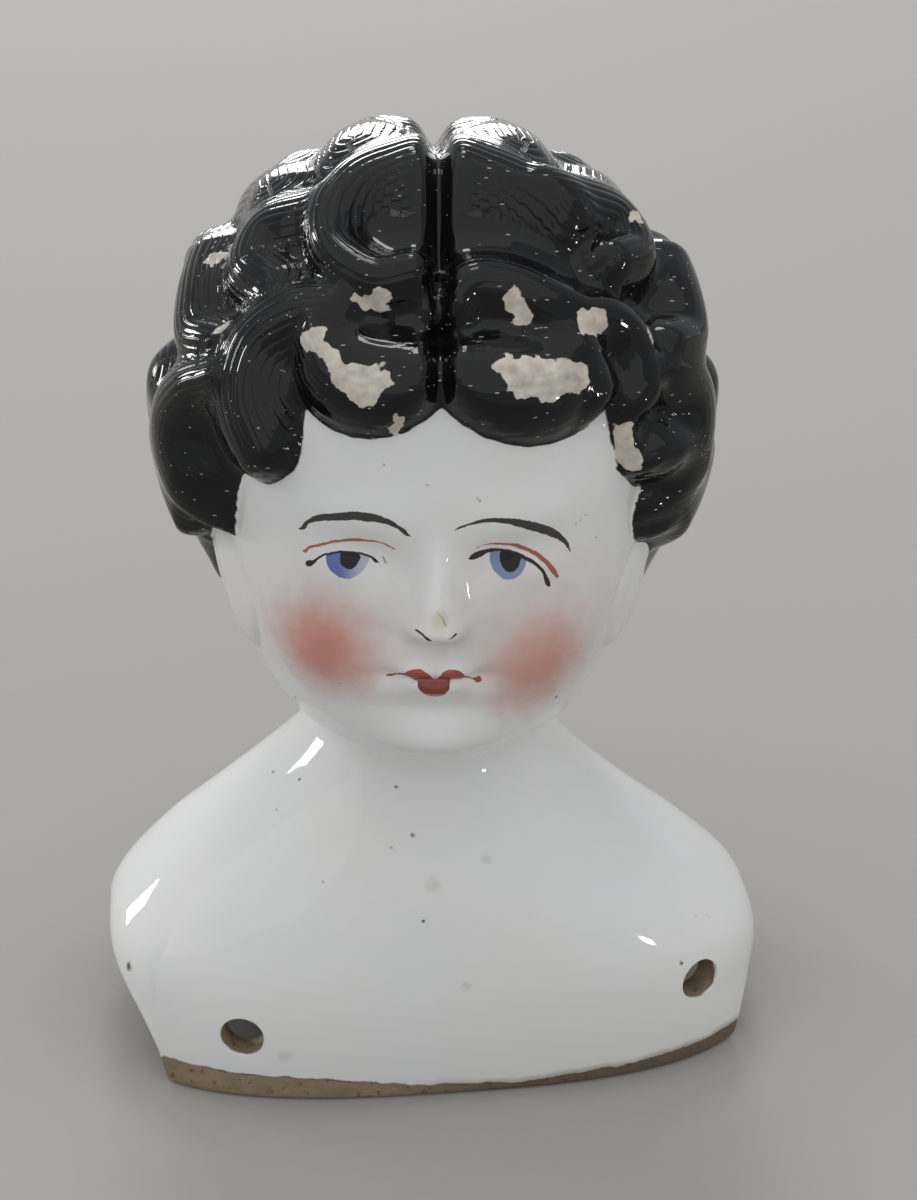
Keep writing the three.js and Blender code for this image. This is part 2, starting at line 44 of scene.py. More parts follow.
CAMERA_DISTANCE = 0.380
CAMERA_TARGET = np.array([0.00058, 0.00103, 0.070])
FOCAL_LENGTH_PX = 2665
PICTURE_CENTRE_PX = (440, 594.5)
SENSOR = 36

camera = bpy.data.objects.new("camera", bpy.data.cameras.new("camera"))
bpy.context.scene.collection.objects.link(camera)
bpy.context.scene.camera = camera
camera.data.sensor_width = SENSOR
camera.data.lens = FOCAL_LENGTH_PX * SENSOR / PICTURE_HEIGHT
camera.data.shift_x = (PICTURE_WIDTH / 2 - PICTURE_CENTRE_PX[0]) / PICTURE_HEIGHT
camera.data.shift_y = (PICTURE_CENTRE_PX[1] - PICTURE_HEIGHT / 2) / PICTURE_HEIGHT
camera.data.clip_start = 0.01
backward = np.array([
    sin(CAMERA_BEARING) * cos(CAMERA_ELEVATION),
    -cos(CAMERA_BEARING) * cos(CAMERA_ELEVATION),
    sin(CAMERA_ELEVATION),
])
level = np.array([cos(CAMERA_BEARING), sin(CAMERA_BEARING), 0])
upright = np.cross(backward, level)
across = cos(CAMERA_ROLL) * level + sin(CAMERA_ROLL) * upright
upward = cos(CAMERA_ROLL) * upright - sin(CAMERA_ROLL) * level
camera.matrix_world = Matrix([
    [*row] for row in np.vstack([
        np.column_stack([across, upward, backward, CAMERA_TARGET + backward * CAMERA_DISTANCE]),
        [0, 0, 0, 1],
    ])
])

# The bald head under the hair: white porcelain slip cast hollow in a two-part plaster mould. Profiles
# run from the crown to the neck's base, as [share of the way down, front, side and back], each with
# its distance from the axis and its height.
NECK_BASE_Z = 52.0
SKIN_PROFILE = [
    (0.0, (0, 132), (0, 132), (0, 132)),
    (0.1, (13, 130.2), (12, 130.5), (13, 130.2)),
    (0.22, (25, 124), (22, 124.2), (25, 124)),
    (0.34, (32.4, 114), (28.2, 113.6), (32, 114)),
    (0.46, (35, 103), (30.9, 101.5), (33.8, 101)),
    (0.57, (35.4, 92.6), (30.4, 90), (32.5, 88.5)),
    (0.68, (35.8, 82), (28.7, 79.5), (28, 77.5)),
    (0.78, (35.6, 72.4), (26.2, 70.8), (22.4, 69.5)),
    (0.86, (33.8, 64.2), (23.8, 64.6), (18.8, 64.6)),
    (0.905, (28.6, 60), (20.6, 61.2), (17.6, 61.6)),
    (0.94, (21.2, 58.2), (18, 58.8), (17.1, 59)),
    (0.97, (18.2, 55.6), (16.6, 55.6), (17, 56)),
    (1.0, (18.4, NECK_BASE_Z), (16.2, NECK_BASE_Z), (17, NECK_BASE_Z)),
]


def smooth(start, end, value):
    share = np.clip((value - start) / (end - start), 0, 1)
    return share * share * (3 - 2 * share)


def between(start, end, share):
    return start + (end - start) * share


def swell(across, along):
    """A soft swelling, 1 at its middle."""
    return np.exp(-(across * across + along * along))


def fair_curve(stations, values, at, dome=None):
    """A smooth curve through the values, which meets its mirror image at the start of a dome."""
    stations, values = np.array(stations, float), np.array(values, float)
    slopes = np.zeros(len(values))
    slopes[1:-1] = (values[2:] - values[:-2]) / (stations[2:] - stations[:-2])
    slopes[0] = (values[1] - values[0]) / (stations[1] - stations[0])
    slopes[-1] = (values[-1] - values[-2]) / (stations[-1] - stations[-2])
    if dome == "distance":
        slopes[0] = values[1] / stations[1]
    if dome == "height":
        slopes[0] = 0
    k = np.clip(np.searchsorted(stations, at) - 1, 0, len(stations) - 2)
    span = stations[k + 1] - stations[k]
    s = np.clip((at - stations[k]) / span, 0, 1)
    start = (2 * s**3 - 3 * s**2 + 1) * values[k] + (s**3 - 2 * s**2 + s) * span * slopes[k]
    end = (3 * s**2 - 2 * s**3) * values[k + 1] + (s**3 - s**2) * span * slopes[k + 1]
    return start + end


def turned_form(profile, angle, at, squareness):
    """The form that a profile gives, where the angle is 0 at the front and grows to the left."""
    def read(side, item):
        stations = [row[0] for row in profile]
        dome = "height" if item else "distance"
        return fair_curve(stations, [row[side][item] for row in profile], at, dome)

    facing = np.cos(angle)
    depth = np.maximum(np.where(facing > 0, read(1, 0), read(3, 0)), 1e-6)
    width = np.maximum(read(2, 0), 1e-6)
    n = squareness
    reach = (np.abs(np.sin(angle) / width) ** n + np.abs(facing / depth) ** n) ** (-1 / n)
    height = between(read(2, 1), np.where(facing > 0, read(1, 1), read(3, 1)), facing**2)
    return np.stack([reach * np.sin(angle), -reach * facing, height], -1)


# The modelled face: nose, lips, lids, cheeks and chin stand proud of the bald head or sink into it.
# It is part of the same cast, and soft all over because the slip and the glaze fill fine detail.
NOSE_TIP_Z, NOSE_ROOT_Z, NOSE_BASE_Z, NOSE_RISE = 85.6, 97.5, 81.7, 5
EYE_X, EYE_Z = 11, 91.6
MOUTH_Z = 77.2
CHIN_Z = 66.5


def face_rise(x, z):
    side = np.abs(x)
    down_nose = np.clip((NOSE_ROOT_Z - z) / (NOSE_ROOT_Z - NOSE_TIP_Z), 0, 1)
    bridge = (0.1 + 0.9 * down_nose**1.35) * NOSE_RISE * smooth(NOSE_ROOT_Z + 4, NOSE_ROOT_Z - 5, z)
    half_nose = between(1.9, 3.1, down_nose**1.3)
    nose = bridge * smooth(NOSE_BASE_Z, NOSE_TIP_Z - 0.4, z) * np.exp(-((side / half_nose) ** 2.4))
    nostrils = 0.8 * swell((side - 2.7) / 1.3, (z - NOSE_TIP_Z + 1.2) / 1.6)
    sockets = -1.9 * swell((side - EYE_X + 2.2) / 5.4, (z - EYE_Z - 0.8) / 3.6)
    eyeballs = 1.3 * swell((side - EYE_X) / 4.4, (z - EYE_Z + 0.2) / 2.6)
    brows = 0.5 * swell((side - EYE_X) / 7, (z - EYE_Z - 7.2) / 2.6)
    cheeks = 1.5 * swell((side - 15) / 7.5, (z - 79.5) / 7)
    philtrum = -0.25 * swell(side / 1.1, (z - MOUTH_Z - 3.2) / 1.6)
    muzzle = 1.1 * swell(side / 7.5, (z - MOUTH_Z - 0.3) / 4.4)
    upper_lip = 0.8 * swell((side - 1.9) / 2.4, (z - MOUTH_Z - 1.1) / 1.15)
    lower_lip = swell(side / 2.8, (z - MOUTH_Z + 1.4) / 1.2)
    mouth_line = -0.6 * swell(side / 4.6, (z - MOUTH_Z - 0.05) / 0.5)
    corners = -0.8 * swell((side - 6.1) / 1.6, (z - MOUTH_Z) / 1.5)
    lip_fold = -0.8 * swell(side / 5.4, (z - MOUTH_Z + 4.9) / 1.8)
    chin = 1.5 * swell(side / 6, (z - CHIN_Z) / 3.4)
    return (nose + nostrils + sockets + eyeballs + brows + cheeks + philtrum + muzzle
            + upper_lip + lower_lip + mouth_line + corners + lip_fold + chin)


# The ears lie flat against the sides of the head, cast in one with it: a raised oval with a hollow.
EAR_ANGLE, EAR_Z, EAR_ARC_RADIUS = radians(59.5), 80.6, 29
EAR_HALF_WIDTH, EAR_HALF_HEIGHT = 7, 9
EAR_RISE, EAR_HOLLOW, EAR_GROOVE = 1.7, 0.6, 0.3


def ear_rise(angle, z):
    along = (np.abs(angle) - EAR_ANGLE) * EAR_ARC_RADIUS - 0.3 * (z - EAR_Z)
    taper = 1 - 0.3 * np.clip((EAR_Z - z) / EAR_HALF_HEIGHT, 0, 1)
    q = np.hypot(along / (EAR_HALF_WIDTH * taper), (z - EAR_Z) / EAR_HALF_HEIGHT)
    to_back = smooth(-1, 0.1, along / EAR_HALF_WIDTH)
    body = EAR_RISE * np.sqrt(np.clip(1 - q**2.4, 0, 1)) * between(0.3, 1, to_back)
    groove = EAR_GROOVE * (1 - to_back) * swell((q - 1) / 0.09, 0)
    return body - groove - EAR_HOLLOW * swell((along - 1.6) / 1.8, (z - EAR_Z - 1.2) / 4.2)


# The moulded hair: a thick cap, parted in the middle, with combed locks that roll back from the face
# and down the sides. It is cast with the head, and only its black paint sets it apart.
HAIR_CENTRE = np.array([0, -1, 99.0])
CAP_HALF_WIDTH, CAP_FRONT, CAP_BACK, CAP_TOP, CAP_BELOW = 35.4, 34.4, 35.4, 36.7, 32.6
CAP_MINIMUM = 0.8
EDGE_ROUNDING_IN_FRONT, EDGE_ROUNDING_BESIDE, EDGE_FULLNESS = 3.2, 7, 0.9
LOCK_SPHERE, LOCK_STEPS, LOCK_BLEND, LOCK_FULLNESS = 38.0, 5, 3.0, 2.2
LOCK_REACH, LOCK_SKIRT = 14, 1.4
PARTING_DEPTH, PARTING_HALF_WIDTH = 3.2, 1.5

# Each lock is its rise and its path seen from the hair's centre, as (bearing from the front,
# elevation, half width) in degrees and millimetres.
LOCKS_RIGHT = [
    (4.5, [(2, 78, 8.5), (25, 79, 9.5), (50, 70, 6.5), (45, 60, 4.5), (35, 53, 4.2), (19, 49, 4.4),
           (8, 51, 4)]),
    (4, [(1, 30, 5.5), (12, 28.5, 7.4), (22, 30, 7), (29, 36, 4.5)]),
    (3.8, [(28, 42, 4), (39, 39, 5), (47, 31, 6.5), (46, 20, 7.5), (38, 10, 6)]),
    (3.4, [(50, 61, 4.6), (62, 57, 6), (71, 51, 5.8), (64, 44, 5.5), (50, 43, 4.5)]),
    (4, [(90, 35, 6), (79, 31, 7), (69, 26, 5.8), (58, 28, 3.4)]),
    (4.6, [(53, 22, 3.5), (63, 16, 5.8), (69, 7, 8), (65, -2, 7.8), (55, -9, 6.2), (48, -12, 4)]),
    (3.6, [(78, 0, 7), (73, -12, 6.5), (68, -24, 6), (65, -32, 4.5)]),
]
LOCKS_LEFT = [
    (4.5, [(2, 78, 8.5), (25, 79, 9.5), (50, 70, 7), (56, 59, 5)]),
    (4, [(2, 45, 3.8), (9, 49, 4.4), (19, 48, 4.8), (30, 43, 5), (38, 39, 4.6), (46, 37, 4.2),
         (51, 31, 4.2), (50, 22, 4.2), (44, 19, 3.5)]),
    (4, [(1, 30, 5.5), (14, 28, 7.8), (25, 28, 7.4), (32, 33, 4.5)]),
    (3.4, [(36, 31, 3.4), (37, 21, 4.4), (40, 12, 5), (44, 5, 4)]),
    (5, [(56, 64, 5.4), (68, 59, 6.8), (77, 52, 6.4), (70, 45, 5.5), (58, 46, 4.5)]),
    (5.2, [(88, 35, 5.5), (81, 31, 7), (72, 25, 6), (61, 27, 3.6)]),
    (4.7, [(57, 23, 4), (68, 14, 7.4), (64, 4, 7.6), (52, 5, 5.5), (45, 4, 3.4)]),
    (3.6, [(68, -2, 6.2), (58, -4, 5.8), (50, -6, 5)]),
    (3.6, [(82, -6, 7), (70, -14, 7), (57, -18, 5)]),
]
LOCKS_BEHIND = [
    (3.8, [(98, 74, 6.5), (124, 72, 8), (146, 62, 7)]),
    (3.4, [(90, 56, 6.5), (103, 54, 7), (116, 46, 6.5)]),
    (4.1, [(100, 33, 6.5), (112, 27, 7), (120, 18, 6)]),
    (3.8, [(88, 8, 6.5), (94, -2, 7.2), (92, -12, 6.4)]),
    (4.1, [(132, 48, 7), (146, 40, 7.5), (148, 29, 6.5)]),
    (4.1, [(160, 62, 7.5), (172, 52, 7.5), (170, 41, 6)]),
    (4, [(128, 14, 6.5), (134, 5, 7.2), (128, -6, 6)]),
    (4, [(158, 24, 7), (168, 14, 7.5), (162, 2, 6.5)]),
    (3.6, [(184, 30, 6), (184, 20, 6.5)]),
    (3.6, [(106, -8, 6.5), (114, -18, 7), (108, -29, 5.5)]),
    (3.6, [(142, -8, 6.5), (150, -20, 7), (144, -32, 5.5)]),
    (3.4, [(176, -6, 6.5), (184, -18, 6.5), (176, -32, 5)]),
    (2.2, [(84, -20, 6), (87, -30, 6.6), (90, -39, 5)]),
    (2.9, [(124, -34, 6), (134, -45, 6.5), (128, -56, 5)]),
    (2.9, [(160, -38, 6), (170, -50, 6.5), (160, -60, 5)]),
]

# The hairline unrolled round the head, from nape to nape: (degrees from the front, height, how far
# the line bulges down before the next point). Between its cusps hang the scallops of the fringe.
UNROLLED_RADIUS = 33.0
HAIRLINE_STEPS = 8
HAIRLINE = [
    (-180, 63.5, 0), (-150, 64, 0), (-120, 66, 0), (-98, 69, 0), (-84, 73.5, 0), (-77, 79.5, 0.4),
    (-71, 85, 0.6), (-64, 88, -0.6), (-51.5, 89.6, -0.3), (-47.5, 98.6, -0.5), (-44, 100.8, 0.8),
    (-34.5, 101.8, 0.9), (-29.8, 107.2, 0.1), (-30.4, 111.6, 3.2), (0.4, 113.6, 3.9), (39.8, 110.6, 0.2),
    (41.3, 104, 0.7), (45.5, 99.9, 0.6), (53.5, 97.2, 1.3), (51.5, 91, 0.7), (57.5, 87.6, -0.6),
    (62, 84, 0.2), (70, 77.5, 0.3), (82, 73, 0), (98, 69, 0), (120, 66, 0), (150, 64, 0), (180, 63.5, 0),
]


def looking(bearing, elevation):
    """The direction of a bearing and elevation in degrees, seen from the hair's centre."""
    b, e = np.radians(bearing), np.radians(elevation)
    return np.stack([np.sin(b) * np.cos(e), -np.cos(b) * np.cos(e), np.sin(e)], -1)


def laid_path(points, side):
    """A flowing path on the sphere of the locks, as places with their half widths."""
    rows = np.array(points, float)
    rows = np.column_stack([looking(side * rows[:, 0], rows[:, 1]) * LOCK_SPHERE, rows[:, 2]])
    rows = np.vstack([2 * rows[0] - rows[1], rows, 2 * rows[-1] - rows[-2]])
    path = []
    for a, b, c, d in zip(rows, rows[1:], rows[2:], rows[3:]):
        for s in np.arange(LOCK_STEPS) / LOCK_STEPS:
            bend = (2 * a - 5 * b + 4 * c - d) * s**2 + (3 * b - a - 3 * c + d) * s**3
            path.append(b + 0.5 * ((c - a) * s + bend))
    path.append(rows[-2])
    return np.array(path)


def rounded_max(a, b, blend):
    h = np.clip(0.5 + 0.5 * (a - b) / blend, 0, 1)
    return between(b, a, h) + blend * h * (1 - h)


def nearest_on(path, places):
    """The nearest point of a path by share of its half width: that share, the distance from the
    path with the side as its sign, and the half width there."""
    share = np.full(len(places), np.inf)
    side, width = np.zeros(len(places)), np.zeros(len(places))
    for a, b in zip(path, path[1:]):
        run = b[:3] - a[:3]
        s = np.clip((places - a[:3]) @ run / (run @ run), 0, 1)
        off = places - a[:3] - s[:, None] * run
        away = np.linalg.norm(off, axis=-1)
        hand = np.sign(np.einsum("ij,ij->i", np.cross(places, run), off))
        half = between(a[3], b[3], s)
        nearer = away / half < share
        side = np.where(nearer, hand * away, side)
        width = np.where(nearer, half, width)
        share = np.where(nearer, away / half, share)
    return share, side, width


def lock_rise(direction):
    """How far the locks stand proud, the place across the top one, and how surely it is the top one."""
    places = direction * LOCK_SPHERE
    rise, combed = np.zeros(len(places)), np.zeros(len(places))
    highest, second = np.zeros(len(places)), np.zeros(len(places))
    sides = [(LOCKS_RIGHT, (-1,)), (LOCKS_LEFT, (1,)), (LOCKS_BEHIND, (-1, 1))]
    locks = [(height, laid_path(points, side)) for table, hands in sides
             for height, points in table for side in hands]
    for height, path in locks:
        near = np.flatnonzero((places @ path[:, :3].T).max(1) > LOCK_SPHERE**2 - LOCK_REACH**2 / 2)
        share, side, _ = nearest_on(path, places[near])
        under = share < LOCK_SKIRT
        near, share, side = near[under], share[under], side[under]
        own = height * (1 - share**LOCK_FULLNESS)
        rise[near] = rounded_max(rise[near], own, LOCK_BLEND)
        combed[near] = np.where(own > highest[near], side, combed[near])
        second[near] = np.maximum(second[near], np.minimum(own, highest[near]))
        highest[near] = np.maximum(highest[near], own)
    behind = np.where(direction[:, 1] > 0, smooth(0.75, 0.35, direction[:, 2]), 0)
    from_parting = direction[:, 0] * LOCK_SPHERE / PARTING_HALF_WIDTH
    rise -= PARTING_DEPTH * np.exp(-(from_parting**2)) * (1 - behind)
    beside_brow = 0.8 * smooth(0.4, 0.9, -direction[:, 0] / 0.6) * smooth(0.1, 0.35, direction[:, 2])
    sharpness = np.maximum(0.15, np.maximum(smooth(0.62, 0.86, direction[:, 2]), beside_brow))
    return rise, combed, smooth(0.1, 0.9, highest - second) * sharpness


def hairline_chain():
    chain = []
    for (a, az, sag), (b, bz, _) in zip(HAIRLINE, HAIRLINE[1:]):
        start = np.array([radians(a) * UNROLLED_RADIUS, az])
        end = np.array([radians(b) * UNROLLED_RADIUS, bz])
        outward = np.array([end[1] - start[1], start[0] - end[0]]) / np.linalg.norm(end - start)
        for s in np.arange(HAIRLINE_STEPS) / HAIRLINE_STEPS:
            chain.append(between(start, end, s) + outward * sag * 4 * s * (1 - s))
    chain.append(np.array([radians(HAIRLINE[-1][0]) * UNROLLED_RADIUS, HAIRLINE[-1][1]]))
    return np.array(chain)


def inside_hairline(angle, z):
    """The distance in from the edge of the hair, below 0 on bare skin."""
    chain = hairline_chain()
    x = angle * UNROLLED_RADIUS
    places = np.stack([x, z], -1)
    nearest = np.full(len(places), np.inf)
    for a, b in zip(chain, chain[1:]):
        run = b - a
        s = np.clip((places - a) @ run / (run @ run), 0, 1)
        nearest = np.minimum(nearest, np.linalg.norm(places - a - s[:, None] * run, axis=-1))
    inside = np.zeros(len(places), bool)
    closed = np.vstack([chain, [chain[-1][0] + 1, 200], [chain[0][0] - 1, 200]])
    for (ax, az), (bx, bz) in zip(closed, np.roll(closed, -1, 0)):
        if az != bz:
            inside ^= ((az > z) != (bz > z)) & (x < (bx - ax) * (z - az) / (bz - az) + ax)
    return np.where(inside, nearest, -nearest)


def cap_radius(direction):
    depth = np.where(direction[:, 1] < 0, CAP_FRONT, CAP_BACK)
    height = np.where(direction[:, 2] > 0, CAP_TOP, CAP_BELOW)
    scaled = direction / np.stack([np.full(len(direction), CAP_HALF_WIDTH), depth, height], -1)
    return 1 / np.linalg.norm(scaled, axis=-1)


# A distance that stands for nowhere near, in millimetres: outside an area, or well inside the glaze.
FAR_OUTSIDE, FAR_INSIDE, OFF_THE_FACE = -9.0, 9.0, 99.0

# Places where the hair's black paint has flaked off and the white shows, as (bearing, elevation, half
# width) seen from the hair's centre.
FLAKES = [
    [(-28.5, 34.5, 1.6), (-26, 33, 1.2), (-22.5, 31, 0.8), (-20, 29, 1.7), (-15.5, 28, 2.5),
     (-13, 29.5, 1.8)],
    [(-21, 44, 0.7), (-17, 44, 1.1), (-14, 44.5, 0.6)],
    [(19, 44, 1.0), (21, 42, 1.3)],
    [(36, 37, 1.5), (39, 37, 1.5)],
    [(52, 37, 0.6), (57, 36.5, 0.7), (58, 34, 0.6), (52, 30, 0.4)],
    [(14.5, 31.5, 1.4), (18, 29, 2.6), (23, 28, 2.6), (29, 28, 1.8)],
    [(-9, 22, 0.9), (-9, 20, 0.9)],
    [(43, 15, 0.5), (43.5, 11, 1.1), (44, 7, 1.1)],
    [(-80, 40, 1.2), (-77, 38, 0.6)],
    [(-57, 33, 0.5), (-56, 30, 0.5)],
    [(71, 49, 0.4), (76, 49, 0.8)],
]


def flaked(direction):
    """How far inside a flaked place a point lies, below 0 where the paint is whole."""
    depth = np.full(len(direction), FAR_OUTSIDE)
    for points in FLAKES:
        path = np.array([[*looking(bearing, elevation) * LOCK_SPHERE, half]
                         for bearing, elevation, half in points])
        share, _, half = nearest_on(path, direction * LOCK_SPHERE)
        depth = np.maximum(depth, (1 - share) * half)
    return depth


def head_rows(angle, at):
    """The outer head at an angle and share of the way down, with what its finish needs to know."""
    squareness = between(2, 2.3, smooth(0.2, 0.45, at) * (1 - smooth(0.72, 0.9, at)))
    bare = turned_form(SKIN_PROFILE, angle, at, squareness)
    on_face = smooth(0.1, 0.5, np.cos(angle)) * smooth(0.93, 0.88, at)
    rise = face_rise(bare[:, 0], bare[:, 2]) * on_face + ear_rise(angle, bare[:, 2])
    skin = bare + np.stack([np.sin(angle), -np.cos(angle), np.zeros(len(angle))], -1) * rise[:, None]
    direction = bare - HAIR_CENTRE
    radius = np.linalg.norm(direction, axis=-1)
    direction /= radius[:, None]
    inside = inside_hairline(angle, bare[:, 2])
    cap = rounded_max(cap_radius(direction), radius + CAP_MINIMUM, 2)
    rise, combed, surely = lock_rise(direction)
    hair = HAIR_CENTRE + direction * (cap + rise)[:, None]
    aside = np.degrees(np.abs(angle))
    beside = smooth(38, 54, aside) * smooth(70, 62, aside)
    rounding = between(EDGE_ROUNDING_IN_FRONT, EDGE_ROUNDING_BESIDE, beside)
    cover = (1 - (1 - np.clip(inside / rounding, 0, 1)) ** 2) ** EDGE_FULLNESS
    finish = {
        "hair": inside,
        "combed": combed,
        "combed_surely": surely,
        "flaked": flaked(direction),
        "face_x": np.where(np.cos(angle) > 0, bare[:, 0], OFF_THE_FACE),
        "face_z": bare[:, 2],
        "glazed": np.full(len(angle), FAR_INSIDE),
    }
    return between(skin, hair, cover[:, None]), finish


# The shoulder plate: the wide bib that the cloth body is sewn to, cast in one with the neck. It is cut
# away under each arm, and stands on the edge of its front and back panels. Its profile runs down, as
# (height, half width, front depth, back depth, squareness).
PLATE_PROFILE = [
    (NECK_BASE_Z, 16.2, 18.4, 17, 2),
    (47, 19.6, 20.1, 18.8, 2.05),
    (41, 25.2, 22, 21, 2.15),
    (34, 33.3, 24.1, 22.8, 2.25),
    (27, 41.5, 25.5, 24, 2.5),
    (19, 48.3, 26.4, 25, 2.7),
    (10, 49, 26.2, 25, 2.8),
    (0, 49.2, 24.9, 24.9, 2.8),
]
ARM_CUT_HEIGHT, ARM_CUT_AT, CORNER_ROUNDING = 18.5, radians(91), 1.5
ARM_CUT_HALF_RIGHT, ARM_CUT_HALF_LEFT = radians(24), radians(19.5)
WALL_IN, WALL_DOWN = 3.8, 2.4
RIM_ROUNDING = 1.1

# The glaze stops short of the plate's edge, as (degrees from the front, height above the edge), and
# close to it round the arm arches.
ARCH_GLAZE_STOP = -0.4
GLAZE_STOP = [(-180, 4.5), (-74, 5.5), (-64, 5.2), (-42, 4.7), (-8, 2.4), (25, 2), (45, 2.4), (62, 3.2),
              (180, 4.5)]


def plate_form(angle, z, inset):
    def read(item):
        return fair_curve([-row[0] for row in PLATE_PROFILE], [row[item] for row in PLATE_PROFILE], -z)

    half = read(1) - inset
    deep = np.where(np.cos(angle) > 0, read(2), read(3)) - inset
    n = read(4)
    reach = (np.abs(np.sin(angle) / half) ** n + np.abs(np.cos(angle) / deep) ** n) ** (-1 / n)
    return np.stack([reach * np.sin(angle), -reach * np.cos(angle), z + 0 * angle], -1)


def edge_height(angle):
    half = np.where(angle < 0, ARM_CUT_HALF_RIGHT, ARM_CUT_HALF_LEFT)
    arch = ARM_CUT_HEIGHT * np.sqrt(np.clip(1 - ((np.abs(angle) - ARM_CUT_AT) / half) ** 2, 0, 1))
    return np.where(arch > CORNER_ROUNDING, arch, 0)


def unpainted(count, glazed):
    """What the finish needs to know where there is neither hair nor face."""
    return {
        "hair": np.full(count, FAR_OUTSIDE),
        "combed": np.zeros(count),
        "combed_surely": np.zeros(count),
        "flaked": np.full(count, FAR_OUTSIDE),
        "face_x": np.full(count, OFF_THE_FACE),
        "face_z": np.zeros(count),
        "glazed": glazed + np.zeros(count),
    }


def plate_ring(angle, above_edge, inset):
    edge = edge_height(angle)
    degrees, stops = np.transpose(GLAZE_STOP)
    places = plate_form(angle, edge + above_edge, inset)
    stop = np.where(edge > 0, ARCH_GLAZE_STOP, np.interp(np.degrees(angle), degrees, stops))
    return places, unpainted(len(angle), above_edge - inset - stop)


# The hollow: slip is poured out once a wall has set against the mould, so the inside follows the
# outside, smoother. It is left unglazed, and its profile is in the skin's form.
CORE_PROFILE = [
    (0.0, (0, 126.4), (0, 126.4), (0, 126.4)),
    (0.2, (20.6, 121), (22, 121), (21.5, 121)),
    (0.4, (30, 108.5), (27.2, 108), (29.6, 108)),
    (0.56, (31.2, 94), (27.6, 93), (29.8, 93)),
    (0.7, (31.4, 81.5), (25.2, 80), (25.2, 79)),
    (0.82, (30, 71.5), (21.4, 70.5), (18.8, 70)),
    (0.88, (25, 66), (17.2, 65.6), (15.2, 65.6)),
    (0.93, (15.2, 62), (13.8, 61), (13.4, 61)),
    (1.0, (13.8, NECK_BASE_Z), (12.4, NECK_BASE_Z), (13.2, NECK_BASE_Z)),
]
UNGLAZED_NEAR_RIM = -5


def core_plate_ring(angle, share):
    z = between(NECK_BASE_Z - WALL_DOWN, edge_height(angle), share)
    places = plate_form(angle, z + WALL_DOWN * (1 - share), WALL_IN)
    places[:, 2] = z
    return places, unpainted(len(angle), between(FAR_OUTSIDE, UNGLAZED_NEAR_RIM, share**4))


def core_head_ring(angle, at):
    return turned_form(CORE_PROFILE, angle, at, 2), unpainted(len(angle), FAR_OUTSIDE)


# The whole shell: rings of points from the outer crown down to the rim, and back up inside. The head
# leans and turns to its own right as it goes up, and the left shoulder is the lower one.
HEAD_TURN, TURN_HEIGHTS = radians(-6), (5, 52)
HEAD_LEAN, LEAN_HEIGHTS = -1.5, (0, 44)
SHOULDER_DROP = 0.9 / 40
ORIGIN_SHIFT = np.array([0.58, 1.03, 0])
COLUMNS, FRONT_CROWDING = 380, 0.42
HEAD_ROWS, FACE_CROWDING, FACE_AT = 185, 0.35, 0.7
PLATE_ROWS, ROUNDING_ROWS = 30, 4
CORE_PLATE_ROWS, CORE_HEAD_ROWS = 14, 26
MILLIMETRE = 0.001


def leaned(places):
    x, y, z = places.T
    turn = HEAD_TURN * smooth(*TURN_HEIGHTS, z)
    shifted = x + HEAD_LEAN * smooth(*LEAN_HEIGHTS, z)
    drop = SHOULDER_DROP * x * smooth(4, 30, z) * smooth(56, 38, z)
    return np.stack([
        shifted * np.cos(turn) - y * np.sin(turn),
        shifted * np.sin(turn) + y * np.cos(turn),
        z - drop,
    ], -1) + ORIGIN_SHIFT


def column_angles(count):
    u = np.arange(count) / count
    angle = 2 * pi * u - FRONT_CROWDING * np.sin(2 * pi * u)
    return np.where(angle > pi, angle - 2 * pi, angle)


def row_place(share):
    """Rows lie closer together over the face."""
    wave = np.sin(2 * pi * (share - FACE_AT)) + np.sin(2 * pi * FACE_AT)
    return share - FACE_CROWDING / (2 * pi) * wave


outer, inner = column_angles(COLUMNS), column_angles(COLUMNS // 2)
outer_rows = row_place(np.arange(1, HEAD_ROWS + 1) / HEAD_ROWS)
head_places, head_finish = head_rows(
    np.tile(outer, HEAD_ROWS), np.repeat(outer_rows, COLUMNS),
)
rings = [(head_places, head_finish, [COLUMNS] * HEAD_ROWS)]
for row in range(1, PLATE_ROWS + 1):
    climb = NECK_BASE_Z - edge_height(outer) - RIM_ROUNDING
    rings.append((*plate_ring(outer, RIM_ROUNDING + climb * (1 - row / PLATE_ROWS), 0), [COLUMNS]))
for row in range(1, ROUNDING_ROWS + 1):
    turn = pi / 2 * row / ROUNDING_ROWS
    height, inset = RIM_ROUNDING * (1 - sin(turn)), RIM_ROUNDING * (1 - cos(turn))
    rings.append((*plate_ring(outer, height, inset), [COLUMNS]))
rings.append((*plate_ring(inner, 0, WALL_IN - RIM_ROUNDING * 0.6), [COLUMNS // 2]))
rings.append((*plate_ring(inner, RIM_ROUNDING * 0.3, WALL_IN - RIM_ROUNDING * 0.15), [COLUMNS // 2]))
for row in range(CORE_PLATE_ROWS - 1, 0, -1):
    rings.append((*core_plate_ring(inner, row / CORE_PLATE_ROWS), [COLUMNS // 2]))
for row in range(CORE_HEAD_ROWS, 0, -1):
    rings.append((*core_head_ring(inner, row / CORE_HEAD_ROWS), [COLUMNS // 2]))
crown = np.zeros(1)
for places, finish in (head_rows(crown, crown), core_head_ring(crown, crown)):
    rings.append((places, finish, []))

